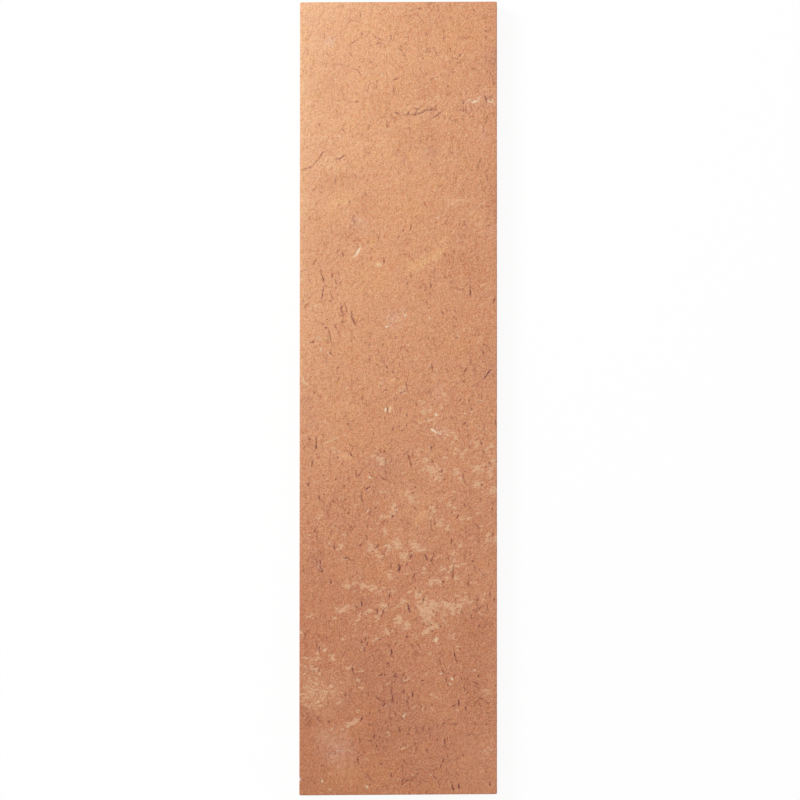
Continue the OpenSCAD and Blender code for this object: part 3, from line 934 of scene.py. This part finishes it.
@dataclass
class TilePiece:
    """The visible tile: the slab with its marks cut in, its relief and its bake map."""

    slab: Slab
    marks: FaceMarks
    # The cells are split once, and once more, under marks of at least this strength and within this margin.
    fine_marks: tuple[Span, Span] = ((0.2, 0.35), (0.35, 0.15))
    # Marks reach this far down from the face, and then fade out over this much more.
    marked_depth: float = 1.0
    marked_fade: float = 1.5
    lip_and_highlight_reach: float = 0.5
    upright_stretch: float = 1.5
    # The sides' relief sets in over this height from the foot and the face, and ends this far from them.
    side_fade: float = 1.0
    side_clearance: float = 0.3
    side_reach: float = 1.5
    top_left_inset: float = 0.22
    top_left_drop: float = 0.25
    bottom_right_rise: float = 0.46
    smooth_angle: float = 50.0
    # What counts as the face and the back on the bake map, by how steep it is and how far in it lies.
    face_slope: float = 0.35
    back_slope: float = -0.9
    back_inset: float = 2.0
    map_slack: float = 0.05
    pocket_splay: float = 0.12

    # Where each part lies on the bake map: its left side, its width, its foot and its height.
    MAP_STRIPS = {
        "face": (0.01, 0.6, 0.01, 0.98),
        "back": (0.63, 0.24, 0.01, 0.98),
        "left": (0.885, 0.03, 0.01, 0.98),
        "right": (0.925, 0.03, 0.01, 0.98),
        "bottom": (0.965, 0.025, 0.01, 0.48),
        "top": (0.965, 0.025, 0.51, 0.48),
    }
    CUT_IN = (MarkKind.TEAR, MarkKind.STRAW, MarkKind.CHIP)
    COATS = (
        ReliefCoat("face", 0.16, grain=14, octaves=1),
        ReliefCoat("face", 0.14, grain=2.2, octaves=2),
        ReliefCoat("sides", 0.1, grain=2.5, octaves=2, direction="NORMAL"),
        ReliefCoat("between_lips", 0.06),
        ReliefCoat(MarkKind.STRAW.value, 0.05),
        ReliefCoat(MarkKind.TEAR.value, 0.26),
        ReliefCoat(MarkKind.CHIP.value, 0.4, direction="NORMAL"),
    )

    def build(self) -> Piece:
        """Models the whole tile.

        Returns:
            The finished mesh, at the origin, without its material.
        """
        piece = self.slab.build()
        marks = self.marks.all_marks()
        self._refine(piece, marks)
        self._lay_out_bake_map(piece)
        self._write_marks(piece, marks)
        self._press_relief(piece)
        self._draw_out_of_square(piece)
        bpy.ops.object.shade_smooth_by_angle(angle=math.radians(self.smooth_angle))
        return piece

    def _refine(self, piece: Piece, marks: list[Mark]) -> None:
        """Splits the cells under the marks that are cut in, and the cells with more than four sides.

        Args:
            piece: the plain slab.
            marks: every mark.
        """
        for least, margin in self.fine_marks:
            cut_in = [mark for mark in marks if mark.kind in self.CUT_IN and mark.strength >= least]
            centres = face_values(piece, "center") / MM
            near = np.zeros(len(centres), bool)
            for mark, rows, moved in marks_near(cut_in, centres):
                near[rows] |= mark.reach(moved, margin) < 1
            edit_chosen(piece, near & (centres[:, 2] > self.slab.thickness - self.marked_depth))
            bpy.ops.mesh.subdivide(number_cuts=1)
            bpy.ops.object.mode_set(mode="OBJECT")
        edit_chosen(piece, np.zeros(len(piece.data.polygons), bool))
        bpy.ops.mesh.select_face_by_sides(number=4, type="GREATER", extend=False)
        bpy.ops.mesh.quads_convert_to_tris()
        bpy.ops.object.mode_set(mode="OBJECT")

    def _lay_out_bake_map(self, piece: Piece) -> None:
        """Lays the face, the back and the four sides side by side on one map, most of it for the face.

        Args:
            piece: the slab, before its relief.
        """
        slab = self.slab
        places = vertex_places(piece)
        corner_vertex = np.empty(len(piece.data.loops), np.int64)
        piece.data.loops.foreach_get("vertex_index", corner_vertex)
        counts = np.empty(len(piece.data.polygons), np.int64)
        piece.data.polygons.foreach_get("loop_total", counts)
        normals = np.repeat(face_values(piece, "normal"), counts, axis=0)
        centres = np.repeat(face_values(piece, "center") / MM, counts, axis=0)
        spans = (slab.width, slab.length)
        x, y, z = places[corner_vertex].T
        across, along = (places[corner_vertex, :2] / spans + 0.5).T
        up = z / slab.thickness
        pocket_centres = slab.pocket_centres(places)[corner_vertex]
        splay = 1 - self.pocket_splay * np.minimum(z, slab.pocket_depth)
        splayed = pocket_centres + (places[corner_vertex, :2] - pocket_centres) * splay[:, None]
        back_across, back_along = (splayed / spans + 0.5).T
        face = normals[:, 2] > self.face_slope
        level = normals[:, 2] < self.back_slope
        inside = (np.abs(centres[:, :2]) < np.array(spans) / 2 - self.back_inset).all(axis=1)
        back = (centres[:, 2] < slab.pocket_depth + self.map_slack) & (level | inside) & ~face
        side = ~face & ~back
        long_side = np.abs(normals[:, 0]) > np.abs(normals[:, 1])
        parts = {
            "face": (face, across, along),
            "back": (back, back_across, back_along),
            "left": (side & long_side & (x < 0), up, along),
            "right": (side & long_side & (x >= 0), up, along),
            "bottom": (side & ~long_side & (y < 0), up, across),
            "top": (side & ~long_side & (y >= 0), up, across),
        }
        places_on_map = np.zeros((len(x), 2))
        for name, (chosen, share_across, share_up) in parts.items():
            left, wide, low, high = self.MAP_STRIPS[name]
            places_on_map[chosen, 0] = left + wide * share_across[chosen]
            places_on_map[chosen, 1] = low + high * share_up[chosen]
        while piece.data.uv_layers:
            piece.data.uv_layers.remove(piece.data.uv_layers[0])
        bake_map = piece.data.uv_layers.new(name="OFBake")
        bake_map.uv.foreach_set("vector", places_on_map.ravel())

    def _write_marks(self, piece: Piece, marks: list[Mark]) -> None:
        """Writes each kind of mark as a point attribute, and the groups that the relief follows.

        Args:
            piece: the slab, before its relief.
            marks: every mark.
        """
        slab = self.slab
        places = vertex_places(piece)
        depth = slab.thickness - places[:, 2]
        on_face = np.clip(1 - depth / slab.arris_radius, 0, 1)
        near_face = np.clip(1 - (depth - self.marked_depth) / self.marked_fade, 0, 1)
        covers = {kind.value: cover_of(marks, kind, places) * near_face for kind in MarkKind}
        # The tears' lips, half a millimetre to their left: raised in the relief, and lightened in the
        # face's colour as a painted highlight.
        shifted = places + np.array([self.lip_and_highlight_reach, 0, 0])
        covers[LIP_AND_HIGHLIGHT] = cover_of(marks, MarkKind.TEAR, shifted) * near_face
        for name, cover in covers.items():
            piece.data.attributes.new(name, "FLOAT", "POINT").data.foreach_set("value", cover)
        for kind in self.CUT_IN:
            self._add_group(piece, kind.value, covers[kind.value])
        self._add_group(piece, "between_lips", on_face * (1 - covers[LIP_AND_HIGHLIGHT]))
        from_ends = np.minimum(places[:, 2], depth)
        on_side = np.clip(from_ends / self.side_fade, 0, 1) * (from_ends > self.side_clearance)
        room = np.array([slab.width, slab.length]) / 2 - self.side_reach
        inside = (np.abs(places[:, :2]) < room).all(axis=1)
        self._add_group(piece, "sides", on_side * ~inside)
        self._add_group(piece, "face", on_face)

    def _add_group(self, piece: Piece, name: str, weights: np.ndarray) -> None:
        """Adds a vertex group that holds each weight above nothing.

        Args:
            piece: the slab.
            name: the group's name.
            weights: each vertex's weight.
        """
        group = piece.vertex_groups.new(name=name)
        full = np.flatnonzero(weights >= 1)
        group.add(full.tolist(), 1.0, "REPLACE")
        for index in np.flatnonzero((weights > 0) & (weights < 1)).tolist():
            group.add([index], float(weights[index]), "REPLACE")

    def _press_relief(self, piece: Piece) -> None:
        """Presses each coat of relief in, always inwards, so that the tile stays within its size.

        Args:
            piece: the slab, with its groups.
        """
        gauge = bpy.data.objects.new("relief_gauge", None)
        bpy.context.scene.collection.objects.link(gauge)
        gauge.scale = (MM, MM * self.upright_stretch, MM)
        bpy.context.view_layer.update()
        for number, coat in enumerate(self.COATS):
            bpy.ops.object.modifier_add(type="DISPLACE")
            modifier = piece.modifiers[-1]
            modifier.vertex_group = coat.group
            modifier.direction = coat.direction
            modifier.strength = coat.depth * MM
            modifier.mid_level = 1.0
            if coat.grain:
                texture = bpy.data.textures.new(f"relief_{number}", "CLOUDS")
                texture.noise_scale = coat.grain
                texture.noise_depth = coat.octaves
                modifier.texture = texture
                modifier.texture_coords = "OBJECT"
                modifier.texture_coords_object = gauge
            else:
                modifier.strength = -coat.depth * MM
                modifier.mid_level = 0.0
            bpy.ops.object.modifier_apply(modifier=modifier.name)
        bpy.data.objects.remove(gauge)

    def _draw_out_of_square(self, piece: Piece) -> None:
        """Pulls two corners in by what the tile shrank unevenly in the kiln.

        Args:
            piece: the tile, with its relief.
        """
        places = vertex_places(piece)
        from_left = places[:, 0] / self.slab.width + 0.5
        from_bottom = places[:, 1] / self.slab.length + 0.5
        places[:, 0] += self.top_left_inset * (1 - from_left) * from_bottom
        places[:, 1] += self.bottom_right_rise * from_left * (1 - from_bottom)
        places[:, 1] -= self.top_left_drop * (1 - from_left) * from_bottom
        move_vertices(piece, places)


class Lay(Enum):
    """How a pattern lies on the face: its turn in radians, and how much finer it runs across and along."""

    FLAT = (0.0, 1.0, 1.0)
    UPRIGHT = (0.0, 1.0, 0.74)
    SMEARED = (-0.6, 0.7, 1.3)


@dataclass(frozen=True)
class Pattern:
    """One soft random pattern in the clay: its cell in millimetres, octaves, roughness, warp and lay."""

    cell: float
    octaves: float
    roughness: float = 0.5
    warp: float = 0.0
    lay: Lay = Lay.FLAT


@dataclass(frozen=True)
class Specks:
    """Round specks, one in each cell of the clay or none.

    The pitch is the cells' size, the radius is the largest speck's, and a share of the cells stays bare.
    """

    pitch: float
    radius: float
    bare: float
    lay: Lay = Lay.FLAT


@dataclass(frozen=True)
class Share:
    """How thickly something lies at each place.

    It follows a pattern or a mark, times its most. With a rise, it goes smoothly from nothing at the rise's
    first value to its most at the second one. What thins it is multiplied in.
    """

    follows: str
    rise: Span | None = None
    most: float = 1.0
    thinned_by: str = ""


@dataclass(frozen=True)
class Coat:
    """One thin coat of colour. A stain only takes light away, and any other coat hides what is under it."""

    colour: str
    share: Share
    stains: bool = False


@dataclass(frozen=True)
class FiredClay:
    """Terracotta clay, pressed in a sanded die and fired without a glaze.

    The colour runs from brick red at the bottom end to peach at the top end: partly the colour the kiln
    gave it, redder where it was hotter, and partly painted light falloff, paler towards the key light at
    the upper left. The face is matt, with sand grains about 0.4 mm across, creases darkened with a redder
    tint and painted shade, and smears of the paler slips in the mix.
    """

    # The colour by how far along the tile a place lay, in millimetres on the tile's own scale: partly the
    # fired colour and partly painted light falloff, paler towards the top and the upper left.
    firing_and_falloff: tuple[Stop, ...] = (
        (-200, "#c48363"), (-130, "#c68465"), (-60, "#cf9070"), (0, "#d99d7a"),
        (70, "#e2a983"), (160, "#eab48d"), (240, "#f4c39c"),
    )
    # How far the kiln's drift and its flames shift a place along the colour ramp, at random.
    heat_drift: float = 10.0
    # The unsanded body by its mottling.
    body: tuple[Stop, ...] = ((0.3, "#bf7a54"), (0.5, "#cb8860"), (0.72, "#d6986f"))
    # The sand colour also serves as the painted highlight on the tears' lips.
    sand: str = "#f6cb9c"
    # The deep tears' dark: partly the torn clay's purplish colour and partly painted shade in the holes.
    torn: str = "#633f48"
    pore: str = "#8a4542"
    straw: str = "#efdbbb"
    buff: str = "#e2b48f"
    ochre: str = "#ecb988"
    amber: str = "#eaa863"
    bloom: str = "#edd0c4"
    film: str = "#ffe0b4"
    # Painted highlight: the pale colour laid along the left of the upper half of the face, where the key
    # light falls.
    edge: str = "#ecc8a4"
    lime: str = "#d8d0cd"
    # Partly a redder tint and partly painted shade: darkens the creases and the hollows of the leathery
    # grain.
    crease_tint_and_shade: str = "#daaaaf"
    grain_stain: str = "#ddaca3"
    # Painted shade: darkens and reddens the shallow tears as their shade would.
    tear_painted_shade: str = "#c6afc0"
    honey_stain: str = "#fffff2"
    rosy_stain: str = "#fbf6fb"
    honey_grain: str = "#f1e9da"
    russet_grain: str = "#fff3e8"
    ember_stain: str = "#ecdede"
    mauve_stain: str = "#edeaf8"
    grain_cell: float = 0.45
    # The share of a speck's radius over which its rim fades.
    speck_rim: float = 0.4
    roughness: float = 0.88
    specular: float = 0.2

    PATTERNS = {
        "sand": Pattern(0.36, 1.0, 0.6, lay=Lay.UPRIGHT),
        "leather": Pattern(1.0, 3.0, 0.6, 0.3, Lay.UPRIGHT),
        "fold": Pattern(2.6, 2.0, 0.55, 0.8, Lay.UPRIGHT),
        "fold_part": Pattern(4.0, 1.0),
        "fray": Pattern(1.3, 5.0, 0.7, 0.4),
        "smear": Pattern(1.1, 4.0, 0.65, 0.4, Lay.SMEARED),
        "tone": Pattern(3.5, 5.0, 0.85, 0.3),
        "mottle": Pattern(6.5, 3.0, 0.6, 0.4),
        "kiln": Pattern(28.0, 2.0),
        "flame": Pattern(7.0, 3.0),
    }
    SPECKS = {"pore_specks": Specks(1.25, 0.27, 0.5, Lay.UPRIGHT), "grit": Specks(1.7, 0.24, 0.55)}
    # What a pattern shifts, for a ragged edge: the pattern, how far it shifts, and what is shifted.
    SHIFTED = {
        "ragged_height": ("fray", 1.2, "z"),
        "smeared_buff": ("smear", 4.0, "buff"),
        "smeared_ochre": ("smear", 1.7, "ochre"),
    }
    # What goes evenly between two levels: what it follows, between which of its values, and the levels.
    LEVELS = {
        # Partly painted light falloff: the colour's slant across the tile, paler towards the left near the
        # top end, where the key light falls, and towards the right near the bottom end.
        "heat_and_light_slant": ("y", (-140, 140), (2.1, -3.5)),
        "evened": ("y", (-135, -20), (0.82, 1.03)),
        "unrubbed": ("rub", (0, 1), (1.0, 0.5)),
        "patchy": ("fray", (0.38, 0.62), (0.3, 1.7)),
        "broken": ("fray", (0.38, 0.62), (0.4, 1.5)),
    }
    # Shares that the coats and the relief follow. Places are in millimetres from the middle of the face.
    SHARES = {
        "scarp": Share("fold", (0.46, 0.54)),
        "crease_part": Share("fold_part", (0.55, 0.7)),
        "creases": Share("off_fold_line", (0.03, 0.004), thinned_by="crease_part"),
        "lower": Share("y", (110, -30)),
        "pores": Share("pore_specks", thinned_by="lower"),
        "upper": Share("y", (-60, 40)),
        # Painted highlight: fades in from 8 mm left of the middle out to the left side, on the upper half
        # only.
        "left_painted_highlight": Share("x", (-8, -36), 0.1, "upper"),
        "unsanded": Share("ragged_height", (10.1, 9.3)),
        "worn": Share("evened", thinned_by="unrubbed"),
        "within_buff": Share("buff", (0.0, 0.2)),
        "buff_slip": Share("smeared_buff", (2.38, 2.62), thinned_by="within_buff"),
        "within_ochre": Share("ochre", (0.0, 0.2)),
        "ochre_slip": Share("smeared_ochre", (0.95, 1.5), thinned_by="within_ochre"),
        "broken_tear": Share("tear", thinned_by="broken"),
    }
    # Relief too fine for the mesh: how far each pattern stands up or lies in, in millimetres.
    FINE_RELIEF = {
        "leather": 0.4, "scarp": 0.06, "sand": 0.1, "creases": -0.06, "pores": -0.12, "grit": 0.05,
    }

    def face_coats(self) -> tuple[Coat, ...]:
        """Lists the coats on the sanded face.

        Returns:
            The coats, the lowest first.
        """
        return (
            Coat(self.honey_stain, Share("tone", (0.5, 0.66)), stains=True),
            Coat(self.rosy_stain, Share("tone", (0.5, 0.34)), stains=True),
            Coat(self.ember_stain, Share("ember"), stains=True),
            Coat(self.mauve_stain, Share("mauve"), stains=True),
            # Painted highlight along the left of the upper half.
            Coat(self.edge, Share("left_painted_highlight")),
            Coat(self.amber, Share("amber", most=0.13)),
            Coat(self.film, Share("film", None, 0.3, "patchy")),
            Coat(self.bloom, Share("haze", None, 0.5, "patchy")),
            Coat(self.ochre, Share("ochre_slip", most=0.65)),
            # Partly painted shade in the hollows of the leathery grain.
            Coat(self.crease_tint_and_shade, Share("leather", (0.5, 0.28), 0.27, "worn"), stains=True),
            Coat(self.grain_stain, Share("sand", (0.52, 0.3), 0.47, "worn"), stains=True),
            # Partly painted shade in the creases along the folds.
            Coat(self.crease_tint_and_shade, Share("creases", (0, 1), 0.6, "worn"), stains=True),
            Coat(self.sand, Share("leather", (0.5, 0.74), 0.19, "worn")),
            Coat(self.sand, Share("sand", (0.5, 0.72), 0.42, "worn")),
            Coat(self.pore, Share("pores", (0, 1), 0.75, "worn")),
            Coat(self.straw, Share("grit", (0, 1), 0.4, "worn")),
            Coat(self.honey_grain, Share("grains", (0.5, 1.0)), stains=True),
            Coat(self.russet_grain, Share("grains", (0.5, 0.0)), stains=True),
            Coat(self.buff, Share("buff_slip", most=0.78)),
            # Painted highlight: pale sand colour on the left of each tear, where the light from the left
            # falls on the raised lips.
            Coat(self.sand, Share("lip_and_highlight", most=0.3)),
            # Painted shade in the tears: shallow ones darkened as if shaded, deep ones filled with the torn
            # clay's purple and painted shade.
            Coat(self.tear_painted_shade, Share("broken_tear", most=2.2), stains=True),
            Coat(self.torn, Share("broken_tear", (0.2, 1.1), 0.95)),
            Coat(self.straw, Share("straw")),
            Coat(self.lime, Share("chip")),
        )

    def body_coats(self) -> tuple[Coat, ...]:
        """Lists the coats on the unsanded sides and back.

        Returns:
            The coats, the lowest first.
        """
        return (
            # Partly painted shade in the hollows of the leathery grain on the sides and back.
            Coat(self.crease_tint_and_shade, Share("leather", (0.5, 0.28), 0.5), stains=True),
            Coat(self.grain_stain, Share("sand", (0.52, 0.3), 0.7), stains=True),
            Coat(self.pore, Share("pores", (0, 1), 0.8), stains=True),
        )

    def dress(self, piece: Piece) -> None:
        """Makes the finish and puts it on the piece.

        Args:
            piece: the tile, whose point attributes carry its marks.
        """
        material = bpy.data.materials.new("fired_terracotta")
        material.use_nodes = True
        tree = material.node_tree
        tree.nodes.clear()
        metres = add_node(tree, "TexCoord").outputs["Object"]
        place = add_node(tree, "VectorMath", {0: metres, "Scale": 1 / MM}, operation="SCALE").outputs[0]
        shares = self._shares(tree, place)
        face = self._lay_coats(tree, shares, self._fired_colour_and_falloff(tree, shares), self.face_coats())
        body = add_node(tree, "ValToRGB", {0: shares["mottle"]}, stops=self.body).outputs["Color"]
        body = self._lay_coats(tree, shares, body, self.body_coats())
        feeds = {0: shares["unsanded"], 6: face, 7: body}
        colour = add_node(tree, "Mix", feeds, data_type="RGBA").outputs[2]
        feeds = {"Base Color": colour, "Roughness": self.roughness, "Specular IOR Level": self.specular}
        feeds["Normal"] = self._fine_relief(tree, shares)
        shader = add_node(tree, "BsdfPrincipled", feeds)
        add_node(tree, "OutputMaterial", {"Surface": shader.outputs[0]})
        piece.data.materials.clear()
        piece.data.materials.append(material)

    def _shares(self, tree: Tree, place: Socket) -> Shares:
        """Everything that the coats and the relief follow: places, marks, patterns, specks and mixtures.

        Args:
            tree: the material's nodes.
            place: the place on the tile, in millimetres.

        Returns:
            A number socket for each, by name.
        """
        shares = dict(zip("xyz", add_node(tree, "SeparateXYZ", {0: place}).outputs))
        for name in [kind.value for kind in MarkKind] + [LIP_AND_HIGHLIGHT]:
            shares[name] = add_node(tree, "Attribute", attribute_name=name).outputs["Fac"]
        laid = {}
        for lay in Lay:
            turn, across, along = lay.value
            feeds = {"Vector": place, "Rotation": (0, 0, turn), "Scale": (across, along, 1)}
            laid[lay] = add_node(tree, "Mapping", feeds).outputs[0]
        for name, pattern in self.PATTERNS.items():
            feeds = {"Vector": laid[pattern.lay], "Scale": 1 / pattern.cell, "Detail": pattern.octaves}
            feeds |= {"Roughness": pattern.roughness, "Distortion": pattern.warp}
            shares[name] = add_node(tree, "TexNoise", feeds).outputs["Fac"]
        for name, specks in self.SPECKS.items():
            shares[name] = self._specks(tree, laid[specks.lay], specks)
        cells = add_node(tree, "TexVoronoi", {"Vector": place, "Scale": 1 / self.grain_cell}).outputs
        shares["grains"] = add_node(tree, "SeparateColor", {0: cells["Color"]}).outputs[0]
        off_fold = add_node(tree, "Math", {0: shares["fold"], 1: 0.5}, operation="SUBTRACT").outputs[0]
        shares["off_fold_line"] = add_node(tree, "Math", {0: off_fold}, operation="ABSOLUTE").outputs[0]
        for name, (pattern_name, amount, shifted) in self.SHIFTED.items():
            feeds = {0: shares[pattern_name], 1: amount, 2: shares[shifted]}
            shares[name] = add_node(tree, "Math", feeds, operation="MULTIPLY_ADD").outputs[0]
        for name, (follows, (start, end), (first, last)) in self.LEVELS.items():
            feeds = {"Value": shares[follows], "From Min": start, "From Max": end}
            feeds |= {"To Min": first, "To Max": last}
            shares[name] = add_node(tree, "MapRange", feeds).outputs[0]
        for name, share in self.SHARES.items():
            shares[name] = self._share(tree, shares, share)
        return shares

    def _specks(self, tree: Tree, place: Socket, specks: Specks) -> Socket:
        """Scatters specks over the clay.

        Args:
            tree: the material's nodes.
            place: the place on the tile, in millimetres.
            specks: their size and how many there are.

        Returns:
            1 on a speck and 0 between them.
        """
        cells = add_node(tree, "TexVoronoi", {"Vector": place, "Scale": 1 / specks.pitch}).outputs
        chance = add_node(tree, "SeparateColor", {0: cells["Color"]}).outputs[0]
        radius = specks.radius / specks.pitch
        feeds = {"Value": chance, "From Min": specks.bare, "To Max": radius}
        reach = add_node(tree, "MapRange", feeds).outputs[0]
        inside = add_node(tree, "Math", {0: reach, 1: cells["Distance"]}, operation="SUBTRACT").outputs[0]
        feeds = {"Value": inside, "From Max": self.speck_rim * radius}
        return add_node(tree, "MapRange", feeds, interpolation_type="SMOOTHSTEP").outputs[0]

    def _share(self, tree: Tree, shares: Shares, wanted: Share) -> Socket:
        """Works out how thickly something lies at each place.

        Args:
            tree: the material's nodes.
            shares: what it may follow or be thinned by, by name.
            wanted: what it follows and how.

        Returns:
            Its share.
        """
        start, full = wanted.rise or (0, 1)
        feeds = {"Value": shares[wanted.follows], "From Min": start, "From Max": full}
        feeds["To Max"] = wanted.most
        way = {"interpolation_type": "SMOOTHSTEP"} if wanted.rise else {"clamp": False}
        share = add_node(tree, "MapRange", feeds, **way).outputs[0]
        if wanted.thinned_by:
            feeds = {0: share, 1: shares[wanted.thinned_by]}
            share = add_node(tree, "Math", feeds, operation="MULTIPLY").outputs[0]
        return share

    def _lay_coats(self, tree: Tree, shares: Shares, colour: Socket, coats: Sequence[Coat]) -> Socket:
        """Lays coats over a colour.

        Args:
            tree: the material's nodes.
            shares: what the coats follow, by name.
            colour: the colour under them.
            coats: the coats, the lowest first.

        Returns:
            The colour that shows.
        """
        for coat in coats:
            feeds = {0: self._share(tree, shares, coat.share), 6: colour, 7: linear(coat.colour)}
            blend = "MULTIPLY" if coat.stains else "MIX"
            colour = add_node(tree, "Mix", feeds, data_type="RGBA", blend_type=blend).outputs[2]
        return colour

    def _fired_colour_and_falloff(self, tree: Tree, shares: Shares) -> Socket:
        """Colours the clay down the tile, and aslant near its top end: partly the fired colour and partly
        painted light falloff, paler towards the key light at the upper left.

        Args:
            tree: the material's nodes.
            shares: the places and patterns, by name.

        Returns:
            The fired colour, with the painted light falloff in it.
        """
        # Painted light falloff in part: the place on the colour ramp rises up the tile and slants across
        # it.
        feeds = {0: shares["x"], 1: shares["heat_and_light_slant"], 2: shares["y"]}
        heat_and_light = add_node(tree, "Math", feeds, operation="MULTIPLY_ADD").outputs[0]
        for name in ("kiln", "flame"):
            shift = add_node(tree, "Math", {0: shares[name], 1: 0.5}, operation="SUBTRACT").outputs[0]
            feeds = {0: shift, 1: self.heat_drift, 2: heat_and_light}
            heat_and_light = add_node(tree, "Math", feeds, operation="MULTIPLY_ADD").outputs[0]
        low, high = self.firing_and_falloff[0][0], self.firing_and_falloff[-1][0]
        fired = add_node(tree, "MapRange", {"Value": heat_and_light, "From Min": low, "From Max": high}).outputs[0]
        stops = [((ramp_place - low) / (high - low), colour) for ramp_place, colour in self.firing_and_falloff]
        return add_node(tree, "ValToRGB", {0: fired}, stops=stops).outputs["Color"]

    def _fine_relief(self, tree: Tree, shares: Shares) -> Socket:
        """Turns the finest relief to one bump.

        Args:
            tree: the material's nodes.
            shares: the patterns, by name.

        Returns:
            The normal.
        """
        height = 0.0
        for name, rise in self.FINE_RELIEF.items():
            feeds = {0: shares[name], 1: rise, 2: height}
            height = add_node(tree, "Math", feeds, operation="MULTIPLY_ADD").outputs[0]
        return add_node(tree, "Bump", {"Strength": 1.0, "Distance": MM, "Height": height}).outputs[0]


@dataclass
class Studio:
    """A plain white floor, soft light from the upper left and a camera that looks straight down."""

    face_height: float
    view_span: float = 283.0
    view_x: float = 0.65
    view_y: float = -0.54
    lens: float = 150.0
    sensor: float = 36.0
    fill: float = 0.5
    key_watts: float = 8.0
    key_place: tuple[float, float, float] = (-600.0, 420.0, 820.0)
    key_size: float = 420.0
    floor_size: float = 6000.0
    floor_gap: float = 0.05
    floor_own_light: float = 0.93
    view_reach: float = 100000.0

    def build(self) -> None:
        """Sets up the floor, the light and the camera."""
        scene = bpy.context.scene
        scene.view_settings.view_transform = "Standard"
        self._lay_floor()
        self._hang_key()
        self._light_world(scene)
        self._place_camera(scene)

    def _seen_directly(self, tree: Tree) -> Socket:
        """Tells the rays that show the background from the rays that light the tile.

        Args:
            tree: the floor's or the world's nodes.

        Returns:
            1 for a ray that comes by eye, mirror or glass, and 0 for one that lights.
        """
        path = add_node(tree, "LightPath").outputs
        feeds = {0: path["Is Camera Ray"], 1: path["Is Glossy Ray"]}
        seen = add_node(tree, "Math", feeds, operation="ADD").outputs[0]
        feeds = {0: seen, 1: path["Is Transmission Ray"]}
        return add_node(tree, "Math", feeds, operation="ADD", use_clamp=True).outputs[0]

    def _lay_floor(self) -> None:
        """Lays the floor, whose own glow keeps it white while the tile's shadow still shows."""
        deselect_everything()
        bpy.ops.mesh.primitive_plane_add(size=self.floor_size * MM, location=(0, 0, -self.floor_gap * MM))
        floor = bpy.context.object
        floor.name = "floor"
        material = bpy.data.materials.new("white_paper")
        material.use_nodes = True
        tree = material.node_tree
        tree.nodes.clear()
        paper = add_node(tree, "BsdfDiffuse", {"Color": linear("#ffffff")}).outputs[0]
        glow = add_node(tree, "Emission", {"Strength": 1.0}).outputs[0]
        feeds = {0: self._seen_directly(tree), 1: self.floor_own_light}
        share = add_node(tree, "Math", feeds, operation="MULTIPLY").outputs[0]
        surface = add_node(tree, "MixShader", {0: share, 1: paper, 2: glow}).outputs[0]
        add_node(tree, "OutputMaterial", {"Surface": surface})
        floor.data.materials.append(material)

    def _hang_key(self) -> None:
        """Hangs the soft box, turned to the middle of the tile."""
        place = [value * MM for value in self.key_place]
        bpy.ops.object.light_add(type="AREA", location=place)
        key = bpy.context.object
        key.name = "key"
        key.data.energy = self.key_watts
        key.data.size = self.key_size * MM
        key.rotation_euler = (-key.location).to_track_quat("-Z", "Y").to_euler()

    def _light_world(self, scene: bpy.types.Scene) -> None:
        """Lights the tile evenly from all round, with a white backdrop where the world is seen.

        Args:
            scene: the scene.
        """
        world = bpy.data.worlds.new("soft_room")
        scene.world = world
        world.use_nodes = True
        tree = world.node_tree
        tree.nodes.clear()
        feeds = {"Value": self._seen_directly(tree), "To Min": self.fill, "To Max": 1.0}
        strength = add_node(tree, "MapRange", feeds).outputs[0]
        light = add_node(tree, "Background", {"Color": (1, 1, 1, 1), "Strength": strength}).outputs[0]
        add_node(tree, "OutputWorld", {"Surface": light})

    def _place_camera(self, scene: bpy.types.Scene) -> None:
        """Hangs the camera over the face, as far up as its lens needs to take in the view.

        Args:
            scene: the scene.
        """
        distance = self.lens * self.view_span / self.sensor
        place = (self.view_x * MM, self.view_y * MM, (self.face_height + distance) * MM)
        bpy.ops.object.camera_add(location=place, rotation=(0, 0, 0))
        camera = bpy.context.object
        camera.name = "camera"
        camera.data.lens = self.lens
        camera.data.sensor_width = self.sensor
        camera.data.clip_end = self.view_reach * MM
        scene.camera = camera


def triangle_count(piece: Piece) -> int:
    """How many triangles the piece's mesh comes to."""
    return len(piece.data.loops) - 2 * len(piece.data.polygons)


def main() -> None:
    """Builds the tile, its finish and the studio, and tells the frame what the piece is."""
    low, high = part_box(NODE)
    size = (high - low) / MM
    slab = Slab(size.x, size.y, size.z)
    tile = TilePiece(slab, FaceMarks(size.x, size.y)).build()
    FiredClay().dress(tile)
    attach(tile, BODY)
    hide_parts(NODE)
    LOG.info("tile: %d triangles", triangle_count(tile))
    Studio(face_height=size.z).build()
    LOG.info("studio: floor, key light, room light and camera")


if __name__ == "__main__":
    logging.basicConfig(level=logging.INFO, format="%(message)s")
    main()
